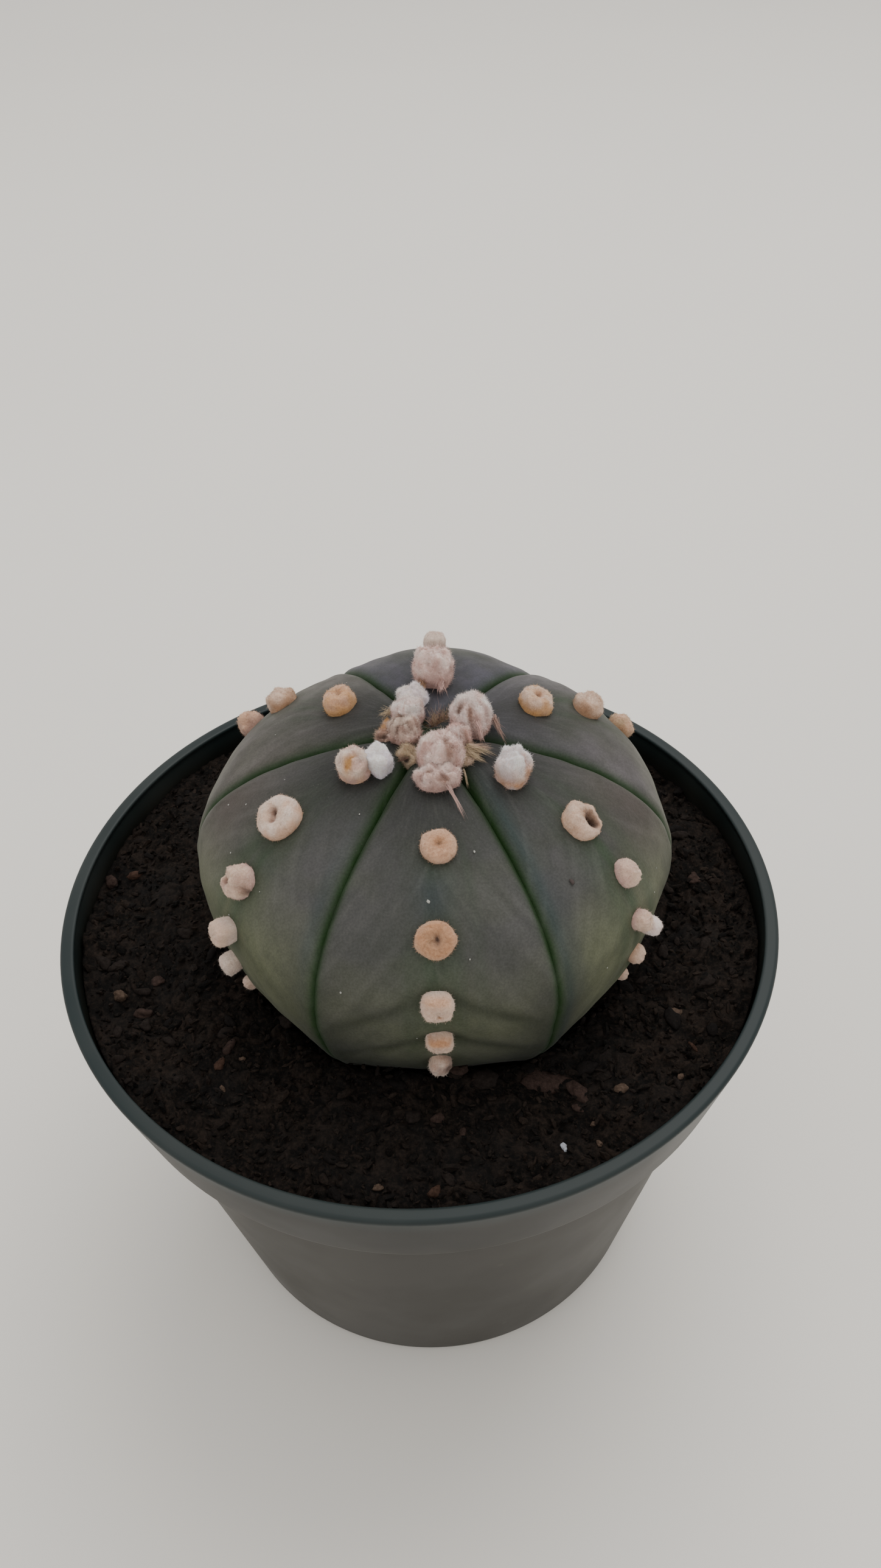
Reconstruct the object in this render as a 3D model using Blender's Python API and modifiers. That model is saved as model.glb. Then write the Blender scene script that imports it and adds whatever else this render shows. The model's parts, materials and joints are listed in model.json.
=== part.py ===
"""A six-ribbed star cactus growing in a round plastic nursery pot.

Four pieces: the thin pot, the soil that fills it, the grown body of the plant with the woolly areoles of its
ribs, and the felt of young wool on its crown. The origin is the middle of the pot's foot, with +Z up.
"""

import math

import bmesh
import bpy
import numpy as np
from mathutils import Matrix, Vector

MM = 0.001
GAP = 0.3 * MM

# The pot: a collar under the rim, a step, and a wall that narrows to the foot.
POT_HEIGHT = 84.5 * MM
RIM_RADIUS = 60.0 * MM
RIM_WIDTH = 2.6 * MM
COLLAR_HEIGHT = 16.2 * MM
COLLAR_FOOT_RADIUS = 56.6 * MM
WALL_TOP_RADIUS = 53.9 * MM
FOOT_RADIUS = 42.8 * MM
COLLAR_WALL = 1.7 * MM
WALL = 1.4 * MM
FLOOR = 1.5 * MM
FOOT_RING_WIDTH = 6.0 * MM
FOOT_RECESS = 1.5 * MM
EDGE_ROUND = 1.0 * MM
MIDDLE_DRAIN_RADIUS = 4.5 * MM
DRAIN_RADIUS = 3.0 * MM
DRAIN_CIRCLE = 26.0 * MM
DRAINS = 6
POT_SIDES = 72

# The soil, up to just below the rim.
SOIL_TOP = 80.0 * MM
SOIL_SIDES = 72
SOIL_RINGS = 11
SOIL_SWELL = 0.7 * MM
CRUMB_RISE = 0.45 * MM
CHIPS = 14

# The plant. Furrow azimuths run anticlockwise seen from above, from the front rib's left side.
RIBS = ("front", "front_right", "right", "back", "left", "front_left")
FURROWS = (-119.6, -65.0, -10.0, 53.8, 115.9, 179.7)
BODY_MIDDLE = (2.9 * MM, -1.0 * MM, 98.0 * MM)
BODY_RADIUS = 37.1 * MM
SHOULDER_HEIGHT = 20.7 * MM
SHOULDER_POWER = 2.23
UNDERSIDE_DEPTH = 38.3 * MM
UNDERSIDE_POWER = 1.88
CROWN_SHIFT = (0.2 * MM, 2.3 * MM)
BACK_HUMP = 1.5 * MM
RIB_SWELL = -0.028
RIB_SWELL_ABOVE = 0.125
RIB_SWELL_BELOW = 0.052
RIB_SWELL_POWER = 3.0
CREASE_DEPTH = 0.65 * MM
CREASE_DEEPER = 0.60 * MM
CREASE_WIDTH = 0.8 * MM
CREASE_START = 6.0 * MM
SIDES_PER_RIB = 12
BODY_RINGS = 24
BURIED_RINGS = 3
BURIED_LATITUDE = -36.0
ROOT_TOP_RADIUS = 9.0 * MM
ROOT_TIP_RADIUS = 2.5 * MM
ROOT_TOP_HEIGHT = 66.0 * MM
ROOT_TIP_HEIGHT = 38.0 * MM
ROOT_SIDES = 12

# Areoles sit along each crest, numbered outwards from the crown, on every other rib by turns.
FIRST_RUN = 8.5 * MM
RUN_STEP = 6.7 * MM
RUN_SHRINK = 0.18 * MM
LAST_NUMBER = 11
AREOLE_DIAMETER = 6.6 * MM
DIAMETER_SHRINK = 0.29 * MM
AREOLE_RISE = 2.5 * MM
AREOLE_SUNK = 0.05
AREOLE_DIMPLE = 0.20
EVEN_RIBS = ("front", "right", "left")

# A felt cushion is fuller than a ball: its radius at each height is the ball's, raised to this power.
CUSHION_FULLNESS = 0.6

# Those that the photo shows have their own lines: distance down the crest, shift to the side, diameter and rise.
SEEN_AREOLES = {
    ("front", 2): ((22.4 * MM, 0.9 * MM, 5.5 * MM, 2.4 * MM),),
    ("front", 4): ((35.6 * MM, 0.2 * MM, 5.9 * MM, 2.0 * MM),),
    ("front", 6): ((44.8 * MM, 0.2 * MM, 4.7 * MM, 2.6 * MM),),
    ("front", 8): ((52.3 * MM, 0.3 * MM, 3.8 * MM, 2.5 * MM),),
    ("front", 10): ((60.5 * MM, 0.2 * MM, 3.4 * MM, 2.4 * MM),),
    ("front_left", 1): ((13.9 * MM, 0.8 * MM, 5.4 * MM, 5.2 * MM), (11.0 * MM, 2.2 * MM, 3.9 * MM, 4.4 * MM)),
    ("front_left", 3): ((26.6 * MM, -0.7 * MM, 7.6 * MM, 3.4 * MM),),
    ("front_left", 5): ((37.1 * MM, 1.0 * MM, 5.9 * MM, 3.2 * MM),),
    ("front_left", 7): ((45.0 * MM, 2.2 * MM, 4.3 * MM, 3.4 * MM),),
    ("front_left", 9): ((54.6 * MM, 0.0 * MM, 3.7 * MM, 2.7 * MM),),
    ("front_left", 11): ((62.5 * MM, -1.0 * MM, 2.6 * MM, 2.2 * MM),),
    ("front_right", 1): ((15.4 * MM, -0.7 * MM, 6.0 * MM, 5.7 * MM),),
    ("front_right", 3): ((27.5 * MM, 0.0 * MM, 6.5 * MM, 3.4 * MM),),
    ("front_right", 5): ((37.3 * MM, 0.3 * MM, 4.7 * MM, 2.9 * MM),),
    ("front_right", 7): ((45.2 * MM, -0.3 * MM, 3.6 * MM, 2.6 * MM), (47.3 * MM, 1.3 * MM, 3.2 * MM, 3.3 * MM)),
    ("front_right", 9): ((53.8 * MM, 0.4 * MM, 3.4 * MM, 2.4 * MM),),
    ("front_right", 11): ((61.5 * MM, 1.3 * MM, 2.3 * MM, 2.0 * MM),),
    ("left", 2): ((16.2 * MM, -0.3 * MM, 5.6 * MM, 3.5 * MM),),
    ("left", 4): ((30.7 * MM, -3.0 * MM, 5.4 * MM, 3.2 * MM),),
    ("left", 6): ((38.9 * MM, -2.0 * MM, 4.9 * MM, 3.7 * MM),),
    ("right", 2): ((18.2 * MM, 0.1 * MM, 5.6 * MM, 3.3 * MM),),
    ("right", 4): ((28.2 * MM, 0.2 * MM, 5.4 * MM, 3.4 * MM),),
    ("right", 6): ((38.6 * MM, 1.8 * MM, 4.8 * MM, 3.0 * MM),),
    ("back", 1): ((12.2 * MM, -0.2 * MM, 6.4 * MM, 6.3 * MM),),
    ("back", 3): ((26.5 * MM, 0.3 * MM, 4.3 * MM, 3.2 * MM),),
}

# Tufts of the crown: rib, run from the middle, shift to the side, diameter and rise.
CROWN_TUFTS = (
    ("front", 8.0 * MM, 1.0 * MM, 7.0 * MM, 5.8 * MM),
    ("front", 11.5 * MM, -0.6 * MM, 4.8 * MM, 3.7 * MM),
    ("front", 11.4 * MM, 2.3 * MM, 4.7 * MM, 3.7 * MM),
    ("left", 4.0 * MM, -0.4 * MM, 5.8 * MM, 4.6 * MM),
    ("front_left", 4.2 * MM, -0.9 * MM, 5.8 * MM, 3.9 * MM),
    ("front_left", 6.2 * MM, -3.0 * MM, 5.4 * MM, 3.1 * MM),
    ("front_left", 6.4 * MM, 2.4 * MM, 4.0 * MM, 2.3 * MM),
    ("back", 7.0 * MM, 3.2 * MM, 4.6 * MM, 4.2 * MM),
    ("right", 6.3 * MM, -2.0 * MM, 7.5 * MM, 6.2 * MM),
    ("front_right", 5.6 * MM, -0.5 * MM, 4.5 * MM, 4.2 * MM),
    ("front_right", 8.2 * MM, -1.5 * MM, 3.9 * MM, 1.9 * MM),
)
CROWN_PAD_RADIUS = 6.8 * MM
CROWN_PAD_RISE = 1.6 * MM

SEED = 6


def collection(name):
    made = bpy.data.collections.new(name)
    bpy.context.scene.collection.children.link(made)
    return made


def material(name, colour, roughness, metallic=0.0):
    made = bpy.data.materials.new(name)
    made.use_nodes = True
    shader = made.node_tree.nodes["Principled BSDF"]
    shader.inputs["Base Color"].default_value = (*colour, 1.0)
    shader.inputs["Roughness"].default_value = roughness
    shader.inputs["Metallic"].default_value = metallic
    made.diffuse_color = (*colour, 1.0)
    return made


def mesh_object(name, shape, home, finish=None):
    """An object whose mesh is taken from a bmesh, which is then freed."""
    mesh = bpy.data.meshes.new(name)
    shape.to_mesh(mesh)
    shape.free()
    made = bpy.data.objects.new(name, mesh)
    home.objects.link(made)
    if finish:
        mesh.materials.append(finish)
    return made


def turned(name, profile, sides, home, finish=None, closed=False):
    """A profile of (radius, height) points, turned round the Z axis by a Screw modifier."""
    shape = bmesh.new()
    points = [shape.verts.new((radius, 0.0, height)) for radius, height in profile]
    for first, second in zip(points, points[1:]):
        shape.edges.new((first, second))
    if closed:
        shape.edges.new((points[-1], points[0]))
    made = mesh_object(name, shape, home, finish)
    screw = made.modifiers.new("Turn", "SCREW")
    screw.steps = sides
    screw.render_steps = sides
    screw.use_merge_vertices = True
    screw.merge_threshold = 0.01 * MM
    screw.use_smooth_shade = True
    return made


def as_helper(made):
    made.hide_render = True
    made.display_type = "WIRE"
    return made


def boolean(made, other, operation, solver="EXACT"):
    """Cuts or joins one object, or all the objects of a collection."""
    change = made.modifiers.new(operation.title(), "BOOLEAN")
    change.operation = operation
    change.solver = solver
    if isinstance(other, bpy.types.Collection):
        change.operand_type = "COLLECTION"
        change.collection = other
    else:
        change.object = other


def applied(made):
    """Replaces an object's mesh by the one that its modifiers give."""
    graph = bpy.context.evaluated_depsgraph_get()
    mesh = bpy.data.meshes.new_from_object(made.evaluated_get(graph))
    made.modifiers.clear()
    made.data = mesh


def emptied(helpers):
    """Removes a collection of helpers with what it holds."""
    for helper in list(helpers.objects):
        bpy.data.objects.remove(helper)
    bpy.data.collections.remove(helpers)


def pot_profile():
    """The pot's outline as a loop: down the outer side, in under the foot, and up the inner side."""
    collar_foot = POT_HEIGHT - COLLAR_HEIGHT
    wall_slope = (WALL_TOP_RADIUS - FOOT_RADIUS) / collar_foot
    collar_slope = (RIM_RADIUS - COLLAR_FOOT_RADIUS) / COLLAR_HEIGHT
    round_off = 0.7 * MM
    floor_top = FOOT_RECESS + FLOOR
    ring_inside = FOOT_RADIUS - EDGE_ROUND - FOOT_RING_WIDTH
    return [
        (RIM_RADIUS - 1.2 * round_off, POT_HEIGHT),
        (RIM_RADIUS - 0.2 * round_off, POT_HEIGHT - 0.4 * round_off),
        (RIM_RADIUS, POT_HEIGHT - 1.6 * round_off),
        (COLLAR_FOOT_RADIUS + 0.8 * MM * collar_slope, collar_foot + 0.8 * MM),
        (COLLAR_FOOT_RADIUS - 0.8 * MM, collar_foot),
        (WALL_TOP_RADIUS + 0.4 * MM, collar_foot - 0.1 * MM),
        (WALL_TOP_RADIUS - wall_slope * MM, collar_foot - MM),
        (FOOT_RADIUS + EDGE_ROUND * wall_slope, EDGE_ROUND),
        (FOOT_RADIUS - 0.3 * EDGE_ROUND, 0.3 * EDGE_ROUND),
        (FOOT_RADIUS - EDGE_ROUND, 0.0),
        (ring_inside, 0.0),
        (ring_inside - FOOT_RECESS, FOOT_RECESS),
        (MIDDLE_DRAIN_RADIUS, FOOT_RECESS),
        (MIDDLE_DRAIN_RADIUS, floor_top),
        (FOOT_RADIUS - WALL - 1.2 * MM, floor_top),
        (inner_radius(floor_top + 1.5 * MM), floor_top + 1.5 * MM),
        (inner_radius(collar_foot - 0.2 * MM), collar_foot - 0.2 * MM),
        (inner_radius(collar_foot + 1.2 * MM), collar_foot + 1.2 * MM),
        (inner_radius(POT_HEIGHT), POT_HEIGHT - 2.2 * round_off),
        (RIM_RADIUS - RIM_WIDTH, POT_HEIGHT - 1.0 * round_off),
        (RIM_RADIUS - RIM_WIDTH + 0.7 * round_off, POT_HEIGHT),
    ]


def inner_radius(height):
    """Radius of the pot's inner side, which has a ledge where the collar begins."""
    collar_foot = POT_HEIGHT - COLLAR_HEIGHT
    if height > collar_foot:
        outside = np.interp(height, (collar_foot, POT_HEIGHT), (COLLAR_FOOT_RADIUS, RIM_RADIUS))
        return outside - COLLAR_WALL
    return np.interp(height, (0.0, collar_foot), (FOOT_RADIUS, WALL_TOP_RADIUS)) - WALL


def make_pot(home, cutters):
    """The turned shell, with drain holes bored through its floor."""
    pot = turned("pot", pot_profile(), POT_SIDES, home, material("pot_plastic", (0.05, 0.075, 0.08), 0.3), True)
    for number in range(DRAINS):
        angle = math.tau * number / DRAINS
        bpy.ops.mesh.primitive_cylinder_add(
            vertices=16, radius=DRAIN_RADIUS, depth=4 * FLOOR,
            location=(DRAIN_CIRCLE * math.cos(angle), DRAIN_CIRCLE * math.sin(angle), FOOT_RECESS + FLOOR / 2))
        drill = as_helper(bpy.context.object)
        drill.name = f"drain_drill_{number}"
        drill.users_collection[0].objects.unlink(drill)
        cutters.objects.link(drill)
        boolean(pot, drill, "DIFFERENCE")
    return pot


def rib_place(azimuth):
    """The rib at an azimuth in radians, and the place across it: -1 and 1 at its furrows, 0 on its crest."""
    starts = np.radians(FURROWS)
    ends = np.append(starts[1:], starts[0] + math.tau)
    turned_to = np.mod(azimuth - starts[0], math.tau) + starts[0]
    rib = np.clip(np.searchsorted(starts, turned_to, side="right") - 1, 0, len(RIBS) - 1)
    return rib, 2 * (turned_to - starts[rib]) / (ends[rib] - starts[rib]) - 1


def rib_azimuth(rib, across):
    """The azimuth in radians of a place across a rib, the inverse of rib_place."""
    starts = np.radians(FURROWS)
    ends = np.append(starts[1:], starts[0] + math.tau)
    return starts[rib] + (np.asarray(across) + 1) / 2 * (ends[rib] - starts[rib])


def skin_point(azimuth, latitude, grown=0.0):
    """A point of the skin, seen from the middle of the body at this azimuth and latitude in radians.

    A superellipse gives the plain outline. On top each rib sinks towards its furrows, and low down its middle is
    the flatter part. A narrow crease follows each furrow, deeper towards the crown, and fades out on the crown
    itself. The back rib has a low hump along its crest. The crown is shifted back with the square of its height.
    """
    above = latitude > 0
    power = np.where(above, SHOULDER_POWER, UNDERSIDE_POWER)
    tall = np.where(above, SHOULDER_HEIGHT, UNDERSIDE_DEPTH)
    level, rise = np.cos(latitude).clip(1e-9), np.sin(latitude)
    plain = ((level / BODY_RADIUS) ** power + (np.abs(rise) / tall) ** power) ** (-1 / power)
    rib, across = rib_place(azimuth)
    across = np.abs(across)
    hump = BACK_HUMP * (rib == RIBS.index("back")) * (1 - across**2) ** 2 * np.clip(2 * rise * level, 0, None)
    swell = RIB_SWELL + np.where(above, RIB_SWELL_ABOVE, RIB_SWELL_BELOW) * rise
    sunk = 1 - swell * np.sqrt(level) * across**RIB_SWELL_POWER
    from_furrow = (1 - across) * plain * level * math.pi / len(RIBS)
    crease = (CREASE_DEPTH + CREASE_DEEPER * rise) * np.clip(plain * level / CREASE_START, 0, 1)
    reach = plain * sunk - crease * np.exp(-from_furrow / CREASE_WIDTH) + hump + grown
    lean = np.clip(reach * rise / SHOULDER_HEIGHT, 0, None) ** 2
    return np.stack([
        BODY_MIDDLE[0] + reach * level * np.cos(azimuth) + CROWN_SHIFT[0] * lean,
        BODY_MIDDLE[1] + reach * level * np.sin(azimuth) + CROWN_SHIFT[1] * lean,
        BODY_MIDDLE[2] + reach * rise], axis=-1)


def ribbed_body(name, home, finish=None, grown=0.0):
    """A sphere of vertices moved onto the skin, with its sides crowded towards the furrows."""
    shape = bmesh.new()
    sides = SIDES_PER_RIB * len(RIBS)
    bmesh.ops.create_uvsphere(shape, u_segments=sides, v_segments=BODY_RINGS, radius=1.0)
    start = np.array([vert.co for vert in shape.verts])
    side = np.mod(np.arctan2(start[:, 1], start[:, 0]) / math.tau * sides, sides)
    rib = np.floor((side + 0.01) / SIDES_PER_RIB).astype(int) % len(RIBS)
    step = np.mod(side + 0.01, SIDES_PER_RIB) - 0.01
    azimuth = rib_azimuth(rib, np.sin(np.pi / 2 * (2 * step / SIDES_PER_RIB - 1)))
    ring = np.degrees(np.arcsin(start[:, 2].clip(-1, 1))) / 180 * BODY_RINGS + BODY_RINGS / 2
    latitude = np.interp(ring, (0, BURIED_RINGS, BODY_RINGS), (-90, BURIED_LATITUDE, 90))
    for vert, point in zip(shape.verts, skin_point(azimuth, np.radians(latitude), grown)):
        vert.co = point
    for face in shape.faces:
        face.smooth = True
    return mesh_object(name, shape, home, finish)


def taproot(name, home, grown=0.0):
    """The turnip root under the body, a cone that ends in a blunt tip."""
    height = ROOT_TOP_HEIGHT - ROOT_TIP_HEIGHT + 2 * grown
    bpy.ops.mesh.primitive_cone_add(
        vertices=ROOT_SIDES, radius1=ROOT_TIP_RADIUS + grown, radius2=ROOT_TOP_RADIUS + grown, depth=height,
        location=(BODY_MIDDLE[0], BODY_MIDDLE[1], (ROOT_TOP_HEIGHT + ROOT_TIP_HEIGHT) / 2))
    root = as_helper(bpy.context.object)
    root.name = name
    root.users_collection[0].objects.unlink(root)
    home.objects.link(root)
    return root


def crest_frame(rib, run, aside=0.0):
    """Where a distance down a rib's crest from the crown lands, and the skin's outward direction there."""
    latitude = np.radians(np.linspace(90, -60, 901))
    azimuth = np.full(latitude.shape, float(rib_azimuth(rib, 0.0)))
    line = skin_point(azimuth, latitude)
    walked = np.append(0, np.cumsum(np.linalg.norm(np.diff(line, axis=0), axis=1)))
    here = np.interp(run, walked, latitude)
    turn = azimuth[0] + aside / max(np.hypot(*(line[np.searchsorted(walked, run)] - BODY_MIDDLE)[:2]), 4 * MM)
    small = 0.01
    low, high, west, east = (
        skin_point(np.array(turn + du), np.array(here + dv)) for du, dv in ((0, -small), (0, small), (-small, 0), (small, 0)))
    out = Vector(np.cross(east - west, high - low)).normalized()
    return Vector(skin_point(np.array(turn), np.array(here))), out


def pillow(home, foot, out, diameter, rise, dimple, sides=8, rings=6):
    """A small felt cushion, half sunk in the skin that it stands on. Its top is dimpled by a share of its rise."""
    shape = bmesh.new()
    bmesh.ops.create_uvsphere(shape, u_segments=sides, v_segments=rings, radius=1.0)
    top = max(shape.verts, key=lambda vert: vert.co.z)
    for vert in shape.verts:
        reach = math.hypot(vert.co.x, vert.co.y)
        if reach > MM:
            vert.co.xy *= reach ** (CUSHION_FULLNESS - 1)
    top.co.z -= dimple
    turn = out.to_track_quat("Z", "Y").to_matrix().to_4x4()
    size = Matrix.Diagonal((diameter / 2, diameter / 2, rise, 1.0))
    bmesh.ops.transform(shape, matrix=Matrix.Translation(foot) @ turn @ size, verts=shape.verts)
    return as_helper(mesh_object("pillow", shape, home))


def areole_places():
    """Each areole's rib, distance down the crest, shift to the side, diameter and rise."""
    for rib, name in enumerate(RIBS):
        for number in range(2 if name in EVEN_RIBS else 1, LAST_NUMBER + 1, 2):
            by_rule = (FIRST_RUN + RUN_STEP * number - RUN_SHRINK * number**2, 0.0,
                       AREOLE_DIAMETER - DIAMETER_SHRINK * number, AREOLE_RISE)
            for place in SEEN_AREOLES.get((name, number), (by_rule,)):
                yield rib, *place


def make_body(home):
    """The ribbed body, its root, and the areoles down its ribs, joined in one solid."""
    body = ribbed_body("cactus_body", home, material("cactus_skin", (0.12, 0.135, 0.095), 0.55))
    body.data.materials.append(material("areole_wool", (0.62, 0.47, 0.36), 0.95))
    grown_on = collection("grown_on_body")
    taproot("root", grown_on)
    for rib, run, aside, diameter, rise in areole_places():
        foot, out = crest_frame(rib, run, aside)
        tuft = pillow(grown_on, foot - out * AREOLE_SUNK * diameter, out, diameter, rise, AREOLE_DIMPLE)
        tuft.data.materials.append(body.data.materials[1])
    boolean(body, grown_on, "UNION")
    body.modifiers["Union"].material_mode = "TRANSFER"
    applied(body)
    emptied(grown_on)
    return body


def make_crown(home):
    """The wool of the youngest areoles, which meets over the crown in one felted tuft."""
    top = Vector(skin_point(np.array(0.0), np.radians(90.0)))
    crown = pillow(home, top, Vector((0, 0, 1)), 2 * CROWN_PAD_RADIUS, CROWN_PAD_RISE, 0.02, 16)
    crown.name = crown.data.name = "crown_wool"
    crown.hide_render = False
    crown.display_type = "TEXTURED"
    crown.data.materials.append(material("crown_felt", (0.70, 0.58, 0.50), 0.95))
    tufts = collection("crown_tufts")
    for name, run, aside, diameter, rise in CROWN_TUFTS:
        foot, out = crest_frame(RIBS.index(name), run, aside)
        pillow(tufts, foot, (out + Vector((0, 0, 1))).normalized(), diameter, rise, 0.10)
    boolean(crown, tufts, "UNION")
    applied(crown)
    emptied(tufts)
    under = as_helper(ribbed_body("crown_seat", home, grown=GAP * 1.1))
    boolean(crown, under, "DIFFERENCE")
    applied(crown)
    bpy.data.objects.remove(under)
    return crown


def soil_height(x, y, phases):
    """The soil's slow rise and fall: three crossed waves, each shorter than the last."""
    waves = [np.sin(x * 90 * (1 + 0.4 * k) + phases[k]) * np.cos(y * 80 * (1 + 0.5 * k) + phases[k + 3])
             for k in range(3)]
    return SOIL_SWELL * sum(waves) / len(waves)


def make_soil(home, draw):
    """A turned plug that fills the pot, with a crumbly top and a plain hole round the buried plant."""
    floor_top = FOOT_RECESS + FLOOR + GAP
    collar_foot = POT_HEIGHT - COLLAR_HEIGHT
    rim = inner_radius(SOIL_TOP) - GAP
    side = [(rim, SOIL_TOP), (inner_radius(collar_foot + 1.6 * MM) - GAP, collar_foot + 1.6 * MM),
            (inner_radius(collar_foot - 0.6 * MM) - GAP, collar_foot - 0.2 * MM),
            (inner_radius(floor_top + 1.5 * MM) - GAP, floor_top + 1.5 * MM),
            (FOOT_RADIUS - WALL - 1.6 * MM, floor_top), (0.0, floor_top)]
    inner = 24 * MM
    top = [(0.0, SOIL_TOP)] + [(inner + (rim - inner) * ring / SOIL_RINGS, SOIL_TOP) for ring in range(SOIL_RINGS)]
    soil = turned("soil", top + side, SOIL_SIDES, home, material("potting_soil", (0.022, 0.016, 0.013), 0.95))
    applied(soil)
    phases = draw.uniform(0, math.tau, 6)
    for vert in soil.data.vertices:
        reach = math.hypot(vert.co.x, vert.co.y)
        if vert.co.z > SOIL_TOP - MM and reach < rim - MM:
            vert.co.z += float(soil_height(vert.co.x, vert.co.y, phases)) + draw.normal(0, CRUMB_RISE)
    chips = collection("chips")
    for number in range(CHIPS):
        angle = math.tau * (number + draw.uniform(0, 0.7)) / CHIPS
        reach = draw.uniform(41, 52) * MM
        foot = Vector((reach * math.cos(angle), reach * math.sin(angle), SOIL_TOP + 0.4 * MM))
        pillow(chips, foot, Vector((draw.uniform(-0.5, 0.5), draw.uniform(-0.5, 0.5), 1)).normalized(),
               draw.uniform(3.5, 6.5) * MM, draw.uniform(1.4, 2.2) * MM, 0.0, 6, 4)
    boolean(soil, chips, "UNION")
    applied(soil)
    emptied(chips)
    hole = collection("plant_hole")
    as_helper(ribbed_body("hole_body", hole, grown=GAP * 1.15))
    taproot("hole_root", hole, GAP)
    boolean(soil, hole, "DIFFERENCE")
    applied(soil)
    emptied(hole)
    return soil


def main():
    for old in list(bpy.data.objects):
        bpy.data.objects.remove(old)
    home = collection("potted_star_cactus")
    cutters = collection("cutters")
    draw = np.random.default_rng(SEED)
    make_pot(home, cutters)
    make_soil(home, draw)
    make_body(home)
    make_crown(home)


main()
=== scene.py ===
# %% [markdown]
# A potted star cactus.
#
# The plant is a low dome of six ribs with woolly buttons, called areoles, down each crest. It stands in dark
# potting soil, in a thin plastic nursery pot 12 cm wide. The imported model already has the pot, the soil, the
# body and the crown as plain solids. This lesson replaces each of them by a finer surface of the same form,
# and then adds the hairs, crumbs and bark that make it look alive.
#
# Everything is in metres, with +Z up and the origin in the middle of the pot's foot.

# %% Load the frame
import json
import math
from dataclasses import dataclass

import bpy
import numpy as np
from mathutils import Matrix

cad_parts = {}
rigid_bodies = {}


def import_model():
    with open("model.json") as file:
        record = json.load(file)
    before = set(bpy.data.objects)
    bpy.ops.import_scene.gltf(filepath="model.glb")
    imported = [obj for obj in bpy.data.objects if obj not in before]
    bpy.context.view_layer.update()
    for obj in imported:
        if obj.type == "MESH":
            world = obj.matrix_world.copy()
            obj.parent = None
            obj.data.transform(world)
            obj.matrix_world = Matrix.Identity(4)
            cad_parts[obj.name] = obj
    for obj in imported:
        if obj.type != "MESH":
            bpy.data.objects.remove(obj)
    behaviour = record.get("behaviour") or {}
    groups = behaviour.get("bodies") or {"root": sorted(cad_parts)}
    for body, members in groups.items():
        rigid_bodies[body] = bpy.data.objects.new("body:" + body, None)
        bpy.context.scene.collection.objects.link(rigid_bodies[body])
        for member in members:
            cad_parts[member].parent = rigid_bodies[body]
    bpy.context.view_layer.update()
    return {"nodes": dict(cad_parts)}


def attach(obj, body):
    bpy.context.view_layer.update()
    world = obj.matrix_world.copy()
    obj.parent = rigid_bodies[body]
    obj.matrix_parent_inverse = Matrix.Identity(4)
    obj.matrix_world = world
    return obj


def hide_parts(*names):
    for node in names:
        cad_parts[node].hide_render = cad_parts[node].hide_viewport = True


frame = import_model()
MM = 0.001
print("solids in the frame:", sorted(frame["nodes"]))

# %% [markdown]
# The camera comes first, because every later choice of detail is judged through it.
#
# It could be placed by eye. Here its place and its three turns were solved from the round rim, the collar and
# the foot of the pot, which show as ellipses. The lens follows from the focal length in pixels, since the
# sensor's 36 mm lie along the long side of the picture.

# %% Camera
PHOTO_HEIGHT = 2576
FOCAL_PIXELS = 1935.0
SENSOR_MM = 36.0
CAMERA_PLACE = (0.0, -0.13479, 0.23393)
PITCH, YAW, ROLL = np.radians((42.968, 1.863, -2.073))

forward = np.array([math.sin(YAW) * math.cos(PITCH), math.cos(YAW) * math.cos(PITCH), -math.sin(PITCH)])
level_up = np.array([math.sin(YAW) * math.sin(PITCH), math.cos(YAW) * math.sin(PITCH), math.cos(PITCH)])
level_right = np.cross(forward, level_up)
right = math.cos(ROLL) * level_right + math.sin(ROLL) * level_up
up = math.cos(ROLL) * level_up - math.sin(ROLL) * level_right
turned = Matrix(np.array([right, up, -forward]).T.tolist()).to_4x4()

camera = bpy.data.objects.new("camera", bpy.data.cameras.new("camera"))
camera.data.lens = SENSOR_MM * FOCAL_PIXELS / PHOTO_HEIGHT
camera.data.clip_start = 0.01
camera.matrix_world = Matrix.Translation(CAMERA_PLACE) @ turned
bpy.context.scene.collection.objects.link(camera)
bpy.context.scene.camera = camera
print(f"lens {camera.data.lens:.1f} mm, looking {math.degrees(PITCH):.0f} degrees down")

# %% [markdown]
# Each piece is a grid of points, so one small set of rules gives the faces of all of them.
#
# Faces could be made one by one in a loop, which is slow for a hundred thousand points. Here a rule gives the
# corner numbers of all the faces at once. Rows run away from the top and columns run anticlockwise, so that
# the faces look outwards. The enclosed volume is positive only when they do.


# %% Faces of a grid
def grid_quads(rows, columns, close_rows=False):
    """Four corner numbers for each cell of a grid that is closed round its columns."""
    row_numbers = np.arange(rows if close_rows else rows - 1)
    row, column = np.meshgrid(row_numbers, np.arange(columns), indexing="ij")
    below, beside = (row + 1) % rows, (column + 1) % columns
    corners = [row * columns + column, below * columns + column,
               below * columns + beside, row * columns + beside]
    return np.stack(corners, axis=-1).reshape(-1, 4)


def pole_fans(rows, columns):
    """Triangles from the first row to a top pole and from the last row to a bottom pole.

    The two poles are numbered after the grid's own points.
    """
    here = np.arange(columns)
    beside = (here + 1) % columns
    top, bottom, last = rows * columns, rows * columns + 1, (rows - 1) * columns
    first_fan = np.stack([np.full(columns, top), here, beside], axis=-1)
    last_fan = np.stack([last + here, np.full(columns, bottom), last + beside], axis=-1)
    return np.concatenate([first_fan, last_fan])


def copied_faces(faces, copies, points_each):
    """The same faces for every copy of a small shape, with the corner numbers moved on for each copy."""
    return (faces[None] + (np.arange(copies) * points_each)[:, None, None]).reshape(-1, faces.shape[1])


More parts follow.
